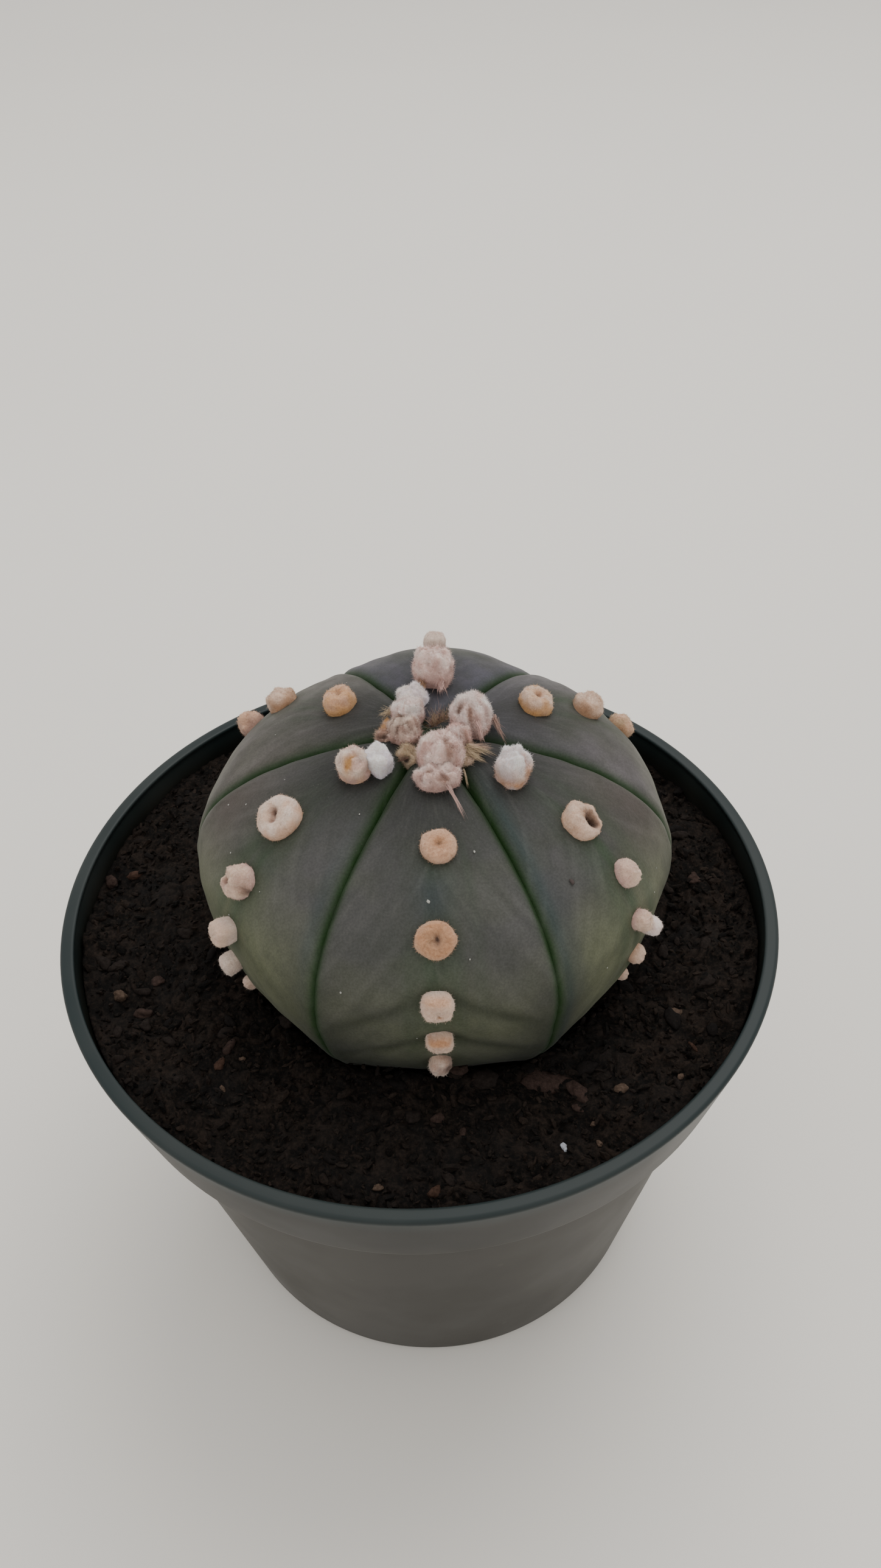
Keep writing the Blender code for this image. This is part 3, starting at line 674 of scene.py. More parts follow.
# %% Areoles that are seen
SEEN = {
    ("front", 2): [
        Tuft("front", 22.4, 0.9, 5.6, 5.5, 2.5, profile=2.8, top="peach", side="peach",
             stain=("apricot", 0.3),
             pits=((0.0, 0.0, 0.45, 0.4, 0.25, "apricot"), (0.0, 0.0, 0.16, 0.10, 0.35, "tan")))],
    ("front", 4): [
        Tuft("front", 35.6, 0.2, 6.1, 5.8, 2.1, profile=2.8, top="apricot", side="peach", stain=("tan", 0.3),
             pits=((0.0, 0.0, 0.5, 0.45, 0.3, "tan"), (0.08, 0.0, 0.12, 0.24, 0.7, "brown"),
                   (-0.1, -0.1, 0.22, 0.10, 0.3, "tan")))],
    ("front", 6): [
        Tuft("front", 44.8, 0.2, 4.9, 4.4, 2.7, profile=3.2, plan=2.8, top="cream", side="ivory",
             pits=((0.0, 0.7, 1.3, 0.35, 0.1, "peach"), (0.1, -0.45, 0.14, 0.10, 0.3, "tan")))],
    ("front", 8): [
        Tuft("front", 52.3, 0.3, 4.2, 3.3, 2.6, profile=3.2, plan=2.8, top="cream", side="ivory",
             pits=((0.0, 0.7, 1.3, 0.4, 0.1, "apricot"),))],
    ("front", 10): [
        Tuft("front", 61.0, 0.2, 3.5, 3.8, 2.8, profile=3.2, plan=2.8, top="ivory", side="cream", lumps=0.14,
             stain=("rose", 0.9),
             pits=((0.75, 0.0, 0.42, 0.9, 0.5, "brown"), (-0.2, -0.9, 0.3, 0.3, 0.3, "rose")))],
    ("front_left", 1): [
        Tuft("front_left", 13.9, 0.8, 5.6, 5.3, 5.3, profile=2.4, top="ivory", side="peach", upright=0.6,
             lumps=0.24, fringe=0.5, stain=("pink", 0.9),
             pits=((0.30, -0.25, 0.10, 0.4, 0.4, "orange"), (0.35, -0.55, 0.26, 0.35, 0.2, "orange"))),
        Tuft("front_left", 11.0, 2.3, 4.2, 3.6, 4.4, profile=6.0, plan=5.0, top="snow", side="lilac",
             upright=0.7, lumps=0.15, fringe=0.4, stain=("lilac", 1.0))],
    ("front_left", 3): [
        Tuft("front_left", 26.6, -0.7, 7.5, 7.6, 3.5, profile=2.4, top="ivory", side="peach", fringe=0.4,
             stain=("peach", 0.6),
             pits=((0.08, -0.12, 0.36, 0.40, 0.5, "cream"), (-0.03, 0.0, 0.14, 0.17, 1.1, "rose"),
                   (0.18, -0.24, 0.14, 0.17, 1.1, "rose"), (-0.06, 0.05, 0.07, 0.07, 0.3, "brown")))],
    ("front_left", 5): [
        Tuft("front_left", 37.1, 1.0, 5.5, 5.6, 3.3, profile=2.6, top="cream", side="pink", lumps=0.20,
             fringe=0.35, stain=("rose", 0.45),
             pits=((-0.32, -0.22, 0.22, 0.28, 1.0, "rose"), (0.9, -0.1, 0.30, 0.28, 2.0, "brown")))],
    ("front_left", 7): [
        Tuft("front_left", 45.0, 1.9, 3.6, 4.0, 3.6, profile=5.0, plan=3.2, top="cream", side="ivory",
             fringe=0.35)],
    ("front_left", 9): [
        Tuft("front_left", 54.6, -0.2, 3.2, 3.5, 3.0, profile=5.0, plan=3.2, top="ivory", side="ivory",
             fringe=0.35)],
    ("front_left", 11): [
        Tuft("front_left", 62.5, -1.0, 2.6, 2.6, 2.3, profile=3.5, top="cream", side="ivory", fringe=0.35)],
    ("front_right", 1): [
        Tuft("front_right", 15.4, -0.7, 6.2, 5.7, 6.0, profile=2.2, plan=2.4, top="snow", side="apricot",
             upright=0.7, lumps=0.28, fringe=0.55, stain=("lilac", 0.5),
             pits=((0.15, -0.6, 0.10, 0.45, 0.5, "pink"), (0.3, -1.0, 0.7, 0.30, 0.2, "apricot")))],
    ("front_right", 3): [
        Tuft("front_right", 27.5, -0.1, 5.9, 6.6, 3.5, profile=2.6, top="cream", side="peach", lumps=0.18,
             fringe=0.35, stain=("apricot", 0.6),
             pits=((0.22, -0.22, 0.42, 0.52, 0.8, "tan"), (0.22, -0.25, 0.36, 0.44, 1.2, "brown"),
                   (0.24, -0.28, 0.26, 0.34, 1.4, "dark")))],
    ("front_right", 5): [
        Tuft("front_right", 37.3, 0.3, 3.9, 5.0, 3.0, profile=2.3, top="cream", side="pink", fringe=0.3,
             stain=("pink", 0.6))],
    ("front_right", 7): [
        Tuft("front_right", 45.2, -0.3, 3.7, 3.6, 2.6, top="cream", side="pink", lumps=0.14,
             stain=("rose", 0.3)),
        Tuft("front_right", 47.3, 1.3, 3.2, 3.2, 3.4, profile=3.4, top="white", side="cream", fringe=0.35)],
    ("front_right", 9): [
        Tuft("front_right", 53.8, 0.4, 3.3, 3.6, 2.4, top="cream", side="peach", fringe=0.25)],
    ("front_right", 11): [
        Tuft("front_right", 61.5, 1.3, 2.3, 2.5, 2.0, top="cream", side="peach", fringe=0.25)],
    ("left", 2): [
        Tuft("left", 16.2, -0.3, 6.0, 5.2, 3.7, profile=2.8, top="peach", side="orange",
             stain=("orange", 0.6), lumps=0.12,
             pits=((0.0, 0.2, 0.3, 0.25, 0.5, "apricot"), (0.1, 0.2, 0.12, 0.12, 0.4, "tan")))],
    ("left", 4): [
        Tuft("left", 30.7, -3.0, 5.6, 5.2, 3.3, top="cream", side="tan", lumps=0.16, stain=("tan", 0.5))],
    ("left", 6): [
        Tuft("left", 38.9, -2.0, 5.0, 4.8, 3.9, top="peach", side="rose", lumps=0.18, stain=("rose", 0.8))],
    ("right", 2): [
        Tuft("right", 18.2, 0.1, 6.0, 5.3, 3.4, profile=2.8, plan=2.5, top="cream", side="orange",
             lumps=0.12, stain=("orange", 0.6),
             pits=((-0.1, 0.1, 0.26, 0.28, 0.6, "apricot"), (-0.1, 0.1, 0.12, 0.12, 0.3, "brown")))],
    ("right", 4): [
        Tuft("right", 28.2, 0.2, 5.6, 5.2, 3.5, top="cream", side="tan", lumps=0.14, stain=("tan", 0.5))],
    ("right", 6): [
        Tuft("right", 38.6, 1.8, 5.0, 4.6, 3.1, top="peach", side="tan", lumps=0.16, stain=("ochre", 0.7))],
    ("back", 1): [
        Tuft("back", 11.6, -0.2, 7.5, 6.6, 6.6, profile=2.3, top="blush", side="pink", upright=1.5,
             fringe=0.7, lumps=0.30, stain=("pink", 0.9),
             pits=((0.0, -0.45, 0.28, 0.4, 0.5, "pink"), (0.5, -0.95, 0.25, 0.3, 0.9, "tan"),
                   (-0.35, -1.0, 0.15, 0.3, 0.8, "rose"), (0.05, -1.05, 0.12, 0.3, 0.9, "brown")))],
    ("back", 3): [Tuft("back", 26.5, 0.3, 4.3, 4.2, 3.4, top="ivory", side="pink", upright=0.8)],
}
print("places with a listed areole:", len(SEEN))

# %% [markdown]
# The areoles of the far side can't be seen, so they follow the same rule of sizes, with seeded chance in the
# rest. Copies of the ones in front would show as copies. The youngest wool meets over the crown, where it is
# much thicker, and has a list of its own.

# %% Hidden areoles and the crown
areole_chance = np.random.default_rng(11)


def hidden_areole(rib, number):
    """An areole whose size falls by 0.29 mm with its number, and whose places get closer down the crest."""
    size = 6.6 - 0.29 * number
    wide, deep = areole_chance.uniform(0.14, 0.26, 2), areole_chance.uniform(0.3, 1.0)
    pit = (*areole_chance.uniform(-0.2, 0.2, 2), *wide, deep,
           str(areole_chance.choice(["tan", "peach", "brown"])))
    run = 8.5 + 6.7 * number - 0.18 * number**2
    return Tuft(rib, run, 0.0, size * areole_chance.uniform(0.95, 1.1), size,
                areole_chance.uniform(2.3, 2.9), profile=areole_chance.uniform(2.4, 3.8),
                plan=areole_chance.uniform(2.0, 2.8),
                top=str(areole_chance.choice(["cream", "white", "peach"])),
                side=str(areole_chance.choice(["pink", "peach", "cream"])),
                lumps=areole_chance.uniform(0.06, 0.16), pits=(pit,) if areole_chance.uniform() < 0.7 else ())


areoles = []
for rib_name in RIBS:
    first = 2 if rib_name in ("front", "right", "left") else 1
    for number in range(first, 12, 2):
        areoles += SEEN.get((rib_name, number)) or [hidden_areole(rib_name, number)]

CROWN = [
    Tuft("front", 8.0, 1.0, 7.6, 6.4, 6.0, profile=2.8, plan=2.4, top="blush", side="pink", upright=1.0,
         lumps=0.22, fringe=0.6, stain=("pink", 1.3),
         pits=((0.12, -0.2, 0.14, 0.40, 0.2, "rose"), (0.2, -0.7, 0.20, 0.4, 0.3, "rose"))),
    Tuft("front", 11.4, 0.9, 7.6, 4.6, 3.9, profile=2.6, top="blush", side="pink", upright=0.9, lumps=0.26,
         fringe=0.6, stain=("pink", 0.8),
         pits=((0.15, -0.65, 0.35, 0.30, 0.3, "rose"), (-0.35, -0.3, 0.12, 0.2, 0.3, "rose"))),
    Tuft("front_right", 5.6, -0.5, 4.6, 4.4, 4.4, top="pink", side="rose", upright=1.0, lumps=0.22,
         fringe=0.6, stain=("white", 0.6), pits=((0.1, -0.7, 0.30, 0.35, 0.7, "rose"),)),
    Tuft("right", 6.3, -2.0, 7.6, 7.4, 6.6, profile=2.2, top="white", side="pink", upright=1.0, lumps=0.18,
         fringe=0.6, stain=("pink", 0.6),
         pits=((-0.12, 0.50, 0.20, 0.24, 0.8, "rose"), (-0.12, 0.54, 0.10, 0.12, 0.4, "brown"),
               (-0.60, 0.15, 0.40, 0.16, 0.1, "rose"))),
    Tuft("back", 7.3, 3.5, 5.6, 4.8, 4.4, profile=2.3, top="white", side="lilac", upright=1.0, lumps=0.20,
         fringe=0.5, stain=("lilac", 0.5)),
    Tuft("left", 4.0, -0.4, 6.4, 5.2, 4.8, profile=2.4, top="white", side="pink", upright=1.0, lumps=0.20,
         fringe=0.6, stain=("pink", 0.6)),
    Tuft("front_left", 4.2, -0.9, 6.2, 5.4, 4.0, top="ivory", side="pink", upright=1.0, lumps=0.30,
         fringe=0.7, stain=("rose", 1.1),
         pits=((-0.1, -0.3, 0.10, 0.7, 0.6, "brown"), (0.45, -0.3, 0.10, 0.6, 0.6, "brown"))),
    Tuft("front_left", 6.2, -3.0, 5.8, 5.2, 3.2, top="cream", side="peach", upright=0.8, lumps=0.30,
         fringe=0.8, stain=("rose", 1.2),
         pits=((0.1, -0.2, 0.10, 0.6, 0.7, "brown"), (0.5, -0.1, 0.10, 0.5, 0.7, "brown"),
               (-0.5, -0.4, 0.25, 0.5, 0.3, "orange"))),
    Tuft("front_left", 6.4, 2.4, 4.4, 3.6, 2.4, top="ochre", side="ochre", upright=0.8, lumps=0.24,
         fringe=0.8, stain=("cream", 0.5), pits=((0.0, -0.65, 0.24, 0.22, 0.7, "dark"),)),
    Tuft("front_right", 8.2, -1.5, 4.4, 3.4, 2.0, top="ochre", side="ochre", upright=0.6, lumps=0.24,
         fringe=0.9, stain=("cream", 0.6)),
]
print(len(areoles), "areoles and", len(CROWN), "tufts on the crown")

# %% [markdown]
# All the tufts share one formula, which gives the plain dome first.
#
# A tuft could be a scaled ball. Here, from its middle outwards, the radius grows as the sine of an angle and
# the height falls as its cosine, both raised to 2 / profile. A profile of 2 is round, and 5 is a flat-topped
# drum. The plan is squared off in the same way. The rows are spread evenly along the profile, so that the
# steep side gets as many as the top.


# %% The plain dome of a tuft
def tuft_axes(tuft):
    """The tuft's foot on the skin and its axes east, north and up.

    Up is the skin's outward direction plus the tuft's upright times the vertical.
    """
    foot, east, north, out = crest_frame(RIBS.index(tuft.rib), tuft.run * MM, tuft.aside * MM)
    axis = unit(out + tuft.upright * np.array([0.0, 0.0, 1.0]))
    east = unit(np.cross(north, axis))
    return foot, east, np.cross(axis, east), axis


def dome_rows(tuft, rows):
    """Shares of the full width and height at even steps down the dome, and the way down to each in mm.

    Width = sin(angle)^(2 / profile), and height = cos(angle)^(2 / profile).
    """
    angle = np.linspace(0, math.pi / 2, 400)
    wide, high = np.sin(angle) ** (2 / tuft.profile), np.cos(angle) ** (2 / tuft.profile)
    slant = np.hypot(np.diff(wide) * tuft.across / 2, np.diff(high) * tuft.rise)
    walked = np.append(0, np.cumsum(slant))
    even = np.linspace(0, walked[-1], rows + 1)[1:]
    return np.interp(even, walked, wide)[:, None], np.interp(even, walked, high)[:, None], even[:, None]


def dome_points(tuft, wide, high, turn, seed):
    """A dome's points with the two poles last: x and y as shares of its half widths, and z in mm.

    The plan is squared off as (|cos|^plan + |sin|^plan)^(-1 / plan), and a little ragged.
    """
    squared = (np.abs(np.cos(turn)) ** tuft.plan + np.abs(np.sin(turn)) ** tuft.plan) ** (-1 / tuft.plan)
    ragged = 1 + 0.014 * ripple(np.stack([np.cos(turn), np.sin(turn)], -1), 0.8, seed)
    x, y = wide * squared * ragged * np.cos(turn), wide * squared * ragged * np.sin(turn)
    z = np.append((high + 0 * turn).ravel(), [1, 0]) * tuft.rise
    return np.append(x.ravel(), [0, 0]), np.append(y.ravel(), [0, 0]), z


half_way = dome_rows(areoles[0], 2)[0][0, 0]
print(f"half way down its profile, the first areole has {half_way:.2f} of its whole width")

# %% [markdown]
# The dome then becomes felt. Each pit takes away a bell of its own width and depth, and waves of three sizes
# make it lumpy. The fibres run from the foot up to the top, so a second set of waves, in a space where the
# turn counts most and the way down the side counts little, gives grooves and streaks along them.
#
# A noise texture could colour the wool, but it would know nothing of the pits and the grooves. So the colours
# are worked out from the same waves as the shape, and painted on the points.

# %% Felt and its colours
FIBRE_TURN, FIBRE_DOWN, FIBRE_APART = 2.2, 0.15, 3.0
SUNK_MM = 0.7


def blended(under, over, amount):
    """One colour over another, by an amount between 0 and 1."""
    return np.asarray(under) * (1 - amount) + np.asarray(over) * amount


def fibre_places(down, turn):
    """(cos turn, sin turn) times FIBRE_TURN, and the way down the side, with the two poles last."""
    round_x, round_y = FIBRE_TURN * np.cos(turn) + 0 * down, FIBRE_TURN * np.sin(turn) + 0 * down
    fibre = np.stack([round_x, round_y, down + 0 * turn], -1)
    return np.concatenate([fibre.reshape(-1, 3), [[0, 0, down[0, 0]], [0, 0, down[-1, 0]]]])


def plain_wool(tuft, on_top, patch, groove):
    """The top's wool passes into the side's with the square of the way down. The stain shows in streaks."""
    tone = np.clip(1.9 * (1 - on_top) ** 2.0 + 0.12 * patch, 0, 1)[:, None]
    shown = np.clip(tuft.stain[1] * (0.28 + 0.30 * patch - 0.34 * groove), 0, 0.9)[:, None]
    return blended(blended(WOOL[tuft.top], WOOL[tuft.side], tone), WOOL[tuft.stain[0]], shown)


def one_tuft(tuft, number, rows, columns, seed):
    """Points, wool colours and fibre places of one closed tuft, with the two poles last.

    The foot is sunk into the skin and drawn in a little, as felt is where it grows out of the skin. A pit is
    a bell exp(-(x / half width)^2 - (y / half length)^2) round its middle.
    """
    foot, east, north, axis = tuft_axes(tuft)
    turn = 2 * math.pi * np.arange(columns) / columns
    wide, high, way_down = dome_rows(tuft, rows)
    x, y, z = dome_points(tuft, wide, high, turn, seed + 31 * number)
    on_top = np.clip(z / tuft.rise, 0, 1)
    upright = min(tuft.upright, 1.0)
    fibre = fibre_places(FIBRE_DOWN * way_down + FIBRE_APART * number, turn)
    groove = ripple(fibre, 1.5, seed + 41 * number) + 0.6 * ripple(fibre, 0.8, seed + 41 * number + 7)
    groove *= np.clip(1.6 * np.hypot(x, y), 0, 1) * (0.2 + 0.5 * upright)
    drawn_in = 1 - (0.16 + 0.14 * upright) * (1 - on_top) ** 2
    local = np.stack([x * tuft.across / 2 * drawn_in, y * tuft.along / 2 * drawn_in, z], -1)
    wool = plain_wool(tuft, on_top, ripple(local, 2.4, seed + 17 * number + 3), groove)
    # each pit's colour follows its dip: partly the wool's own stain, partly painted shade in the hollow
    for at_east, at_north, half_width, half_length, depth, pit_stain_and_shade in tuft.pits:
        off_middle = -((x - at_east) / half_width) ** 2 - ((y - at_north) / half_length) ** 2
        dip = np.exp(off_middle) * on_top**0.5
        local[:, 2] -= depth * dip
        stain_and_shade = np.clip(1.2 * dip * (1 - 0.25 * groove), 0, 1)[:, None] ** 1.3
        wool = blended(wool, WOOL[pit_stain_and_shade], stain_and_shade)
    away = unit(local + np.array([0, 0, 0.6]))
    felt = tuft.lumps * (ripple(local, 2.3, seed + number) + 0.4 * ripple(local, 1.0, seed + number + 500))
    felt += (0.03 + 0.35 * tuft.lumps) * groove + 0.055 * ripple(local, 0.5, seed + number + 900)
    local = local + away * felt[:, None] * (0.3 + 0.7 * on_top)[:, None]
    local[:, 2] -= SUNK_MM
    points = foot + (local[:, :1] * east + local[:, 1:2] * north + local[:, 2:] * axis) * MM
    # the wool is 5% lighter on the raised fibres and darker in the grooves, as painted light and shade
    return points, np.clip(wool * (1 + 0.05 * groove)[:, None], 0.01, 0.92), fibre


def tuft_surface(tufts, rows, columns, seed):
    """Points, wool colours and fibre places of all the tufts of a list, each (tuft, point, 3)."""
    made = [one_tuft(tuft, number, rows, columns, seed) for number, tuft in enumerate(tufts)]
    return [np.array(part) for part in zip(*made)]


def tuft_faces(rows, columns, copies):
    """The quads and the triangles of closed grids with two poles each."""
    each = rows * columns + 2
    quads, fans = grid_quads(rows, columns), pole_fans(rows, columns)
    return copied_faces(quads, copies, each), copied_faces(fans, copies, each)


print("tallest areole:", max(tuft.rise for tuft in areoles), "mm")

# %% [markdown]
# Felt looks soft because light catches thousands of loose fibre ends.
#
# A plain rough colour would look like chalk. The wool's finish takes its colour from the painted attribute,
# breaks it up with a fine grain whose dark parts are painted shade between the fibres and in the hollows of
# the fine bump, lets some light in below the surface, and adds sheen, which brightens cloth-like surfaces at
# their edges.


# %% Wool finish
def felted_finish():
    """Felt: its painted colour, with painted shade between the fibres, which follow the fibre places, and in
    the hollows of the fine bump.
    """
    made = Finish("areole_felt", 0.95, WOOL["cream"])
    fibres = made.noise(0.17, 3.0, 0.7, made.attribute("fibre", "Vector"))
    fine_grain = made.noise(0.32 * MM, 4.0, 0.75)
    dirt = made.step(made.noise(1.7 * MM, 4.0, 0.7), 0.60, 0.78)
    # painted shade: darker where the fibre and fine grain bumps are low, between the fibres
    between = made.step(fibres, 0.62, 0.38, 0.0, 0.35)
    colour = made.mixed(between, made.attribute("wool"), (0.80, 0.72, 0.67), "MULTIPLY")
    colour = made.mixed(made.step(fine_grain, 0.62, 0.38, 0.0, 0.8), colour, (0.80, 0.73, 0.69), "MULTIPLY")
    colour = made.mixed(made.times(dirt, 0.25), colour, (0.36, 0.22, 0.16))
    made.set(Base_Color=colour, Sheen_Weight=0.25, Sheen_Roughness=0.5, Specular_IOR_Level=0.1,
             Subsurface_Weight=0.3, Subsurface_Radius=(1.0, 0.8, 0.65), Subsurface_Scale=0.9 * MM,
             Normal=made.bump(fine_grain, 0.22 * MM, made.bump(fibres, 0.07 * MM)))
    return made.material


def hair_finish():
    """The loose hairs take the colour of the wool that they grow from."""
    made = Finish("wool_hairs", 0.95, WOOL["cream"])
    made.set(Base_Color=made.attribute("wool"), Sheen_Weight=0.15, Sheen_Roughness=0.5,
             Specular_IOR_Level=0.1)
    return made.material


def tufts_piece(name, tufts, rows, columns, seed, finish):
    """The felt of a list of tufts as one piece, and its points and colours for the hairs that it carries."""
    points, wool, fibres = tuft_surface(tufts, rows, columns, seed)
    piece = mesh_piece(name, points, *tuft_faces(rows, columns, len(tufts)), finish)
    paint(piece, "wool", wool)
    place_attribute(piece, "fibre", fibres)
    return piece, points, wool


PAD_ROWS, PAD_COLUMNS = 22, 44
CROWN_ROWS, CROWN_COLUMNS = 34, 68
felt = felted_finish()
areole_pads, pad_points, pad_wool = tufts_piece("areole_pads", areoles, PAD_ROWS, PAD_COLUMNS, 40, felt)
finished(areole_pads)
crown_felt, crown_points, crown_wool = tufts_piece("crown_felt", CROWN, CROWN_ROWS, CROWN_COLUMNS, 70, felt)
finished(crown_felt, "crown_wool")

# %% [markdown]
# Loose hairs stand out of the felt and give each tuft its soft edge.
#
# Blender's hair would be the quick way, but a part has to carry its fibres as mesh. Each hair is a slim
# three-sided spike, which is enough at a twentieth of a millimetre. Its root is drawn at random on the tuft's
# own surface, it starts off along the surface's normal, and it bends a little to one side.


# %% Roots and spikes
def surface_roots(points, colours, rows, columns, count, own):
    """Random places on each tuft's grid, with the surface's normal and colour there.

    The normal is the cross product of the steps to the next row and the next column. Places are drawn with
    more chance where the cells are larger, so that the hairs stand evenly.
    """
    grid = points[:, :rows * columns].reshape(-1, rows, columns, 3)
    wool = colours[:, :rows * columns].reshape(-1, rows, columns, 3)
    beside, below = np.roll(grid, -1, axis=2) - grid, np.diff(grid, axis=1)
    normal = np.cross(below, beside[:, :-1])
    area = np.linalg.norm(normal, axis=-1)
    chance = area.ravel() / area.sum()
    picked = own.choice(chance.size, size=count, p=chance)
    tuft, row, column = np.unravel_index(picked, area.shape)
    along, across = own.uniform(size=(2, count, 1))
    root = grid[tuft, row, column] + along * below[tuft, row, column] + across * beside[tuft, row, column]
    return root, unit(normal[tuft, row, column]), wool[tuft, row, column], tuft


def spikes(root, way, length, thick, bend, rings):
    """Three-sided spikes from their roots to a point, and their faces.

    At a share s of its length a spike's middle is root + way times length times s, plus bend times s squared,
    and its radius is thick / 2 times (1 - 0.75 s). The rings' three corners lie a third of a turn apart.
    """
    side = unit(np.cross(way, np.roll(way, 1, axis=-1) + 0.1))
    other = np.cross(way, side)
    share = np.arange(rings)[None, :, None] / rings
    turn = 2 * math.pi * np.arange(3) / 3
    middle = root[:, None] + way[:, None] * length[:, None, None] * share + bend[:, None] * share**2
    ring = side[:, None] * np.cos(turn)[None, :, None] + other[:, None] * np.sin(turn)[None, :, None]
    radius = (thick / 2)[:, None, None, None] * (1 - 0.75 * share)[:, :, None]
    rim = (middle[:, :, None] + radius * ring[:, None]).reshape(len(root), -1, 3)
    tip = root + way * length[:, None] + bend
    points = np.concatenate([rim, tip[:, None]], axis=1)
    return points, *spike_faces(rings, len(root))


def spike_faces(rings, copies):
    """The quads between the rings of every spike, and the triangles at its tip and its root."""
    corner = np.arange(3)
    beside = (corner + 1) % 3
    quads = np.empty((0, 4), int)
    for first in range(0, 3 * (rings - 1), 3):
        ring = np.stack([first + corner, first + beside, first + 3 + beside, first + 3 + corner], -1)
        quads = np.concatenate([quads, ring])
    last = 3 * (rings - 1)
    ends = np.concatenate([np.stack([last + corner, last + beside, np.full(3, 3 * rings)], -1), [[0, 2, 1]]])
    return copied_faces(quads, copies, 3 * rings + 1), copied_faces(ends, copies, 3 * rings + 1)


print("a hair of one ring has", len(spike_faces(1, 1)[1]), "faces")

# %% [markdown]
# Two coats of hair are grown, one on the areoles and one on the crown, where the hairs are longer.
#
# Each hair keeps the colour of the felt at its root, a little lighter or darker than its neighbours, because
# that difference is what the eye reads as single fibres.

# %% Coats of hair
AREOLE_HAIRS, AREOLE_HAIR_WIDTH = 49500, 0.048 * MM
CROWN_HAIRS, CROWN_HAIR_WIDTH = 48000, 0.045 * MM
HAIR_RINGS = 1
ROOT_DEPTH = 0.05 * MM


def hairs_on(name, tufts, points, colours, rows, columns, count, thick, finish, seed):
    """A coat of hairs on a set of tufts, as long as each tuft's fringe."""
    own = np.random.default_rng(seed)
    root, normal, wool, tuft = surface_roots(points, colours, rows, columns, count, own)
    fringe = np.array([one.fringe for one in tufts])[tuft] * MM
    upwards = np.array([0.5 * one.upright for one in tufts])[tuft, None] * np.array([0.0, 0.0, 1.0])
    way = unit(normal + upwards + own.normal(0, 0.6, normal.shape))
    length = fringe * (0.30 + 0.60 * own.uniform(size=count))
    bend = own.normal(0, 0.30, normal.shape) * length[:, None]
    hairs = spikes(root - ROOT_DEPTH * normal, way, length, np.full(count, thick), bend, HAIR_RINGS)
    coat = mesh_piece(name, *hairs, finish)
    tint = np.clip(wool * own.uniform(0.75, 1.20, (count, 1)), 0.02, 0.93)
    paint(coat, "wool", np.repeat(tint[:, None], 3 * HAIR_RINGS + 1, axis=1))
    finished(coat)
    return coat


hair = hair_finish()
areole_hairs = hairs_on("areole_hairs", areoles, pad_points, pad_wool, PAD_ROWS, PAD_COLUMNS,
                        AREOLE_HAIRS, AREOLE_HAIR_WIDTH, hair, 51)
crown_hairs = hairs_on("crown_hairs", CROWN, crown_points, crown_wool, CROWN_ROWS, CROWN_COLUMNS,
                       CROWN_HAIRS, CROWN_HAIR_WIDTH, hair, 52)

# %% [markdown]
# A few longer strands are dry bits of old flowers and fibres: an awn that lies down the front rib, a curled
# dry strip on the right, pale wisps beside the front tuft, and short fibres in the dark hole of the crown.
#
# Each could be drawn as a curve with a bevel. The spikes of the hairs already do it here: a start near the
# skin, a way, a length and a bend, and many fine ones together make a wisp.

# %% Strands
STRANDS = (
    # rib, run, aside and lift of the root, the same of the tip, thickness, sideways bow, wool
    (("front", 13.0, 1.8, 1.6), ("front", 19.2, 4.5, 0.25), 0.55, 0.4, "pink"),
    (("front", 10.4, 4.6, 1.0), ("front", 13.6, 4.8, 0.3), 0.3, 0.3, "ochre"),
    (("front_right", 9.9, 7.0, 1.3), ("front_right", 12.4, 3.9, 0.3), 0.9, -0.9, "rose"),
    (("front_right", 8.0, -1.2, 1.6), ("front_right", 12.2, 0.2, 0.9), 0.9, 0.4, "ochre"),
    (("front_right", 8.4, -1.6, 1.4), ("front_right", 11.6, -1.4, 0.5), 0.8, -0.4, "ochre"),
    (("front_right", 8.2, -1.0, 1.6), ("front_right", 11.2, 1.2, 1.0), 0.8, 0.3, "cream"),
    (("front_right", 7.4, 1.2, 3.4), ("front_right", 9.3, 0.1, 1.6), 0.9, 0.2, "pink"),
    (("left", 6.0, 1.0, 2.2), ("left", 7.8, 2.4, 1.6), 1.2, 0.3, "ochre"),
    (("front_left", 6.6, -4.6, 1.4), ("front_left", 8.4, -3.8, 0.9), 0.8, 0.3, "orange"),
    (("back", 9.2, 1.4, 1.3), ("back", 6.6, 2.6, 0.8), 1.4, 0.3, "tan"),
    (("back", 9.2, -1.4, 1.3), ("back", 7.0, -2.0, 0.8), 1.4, -0.3, "pink"),
    (("front_left", 7.4, 2.6, 1.4), ("front_left", 9.0, 2.8, 0.8), 0.3, 0.4, "brown"),
    (("front_left", 7.2, 3.2, 1.6), ("front_left", 8.4, 2.2, 1.5), 0.25, -0.6, "brown"),
)
FIBRES_PER_STRAND, HOLE_FIBRES, STRAND_RINGS = 64, 320, 4


def skin_spot(rib, run, aside, lift):
    """A point this many mm above the skin, at a place on a crest."""
    point, east, north, out = crest_frame(RIBS.index(rib), run * MM, aside * MM)
    return point + out * lift * MM


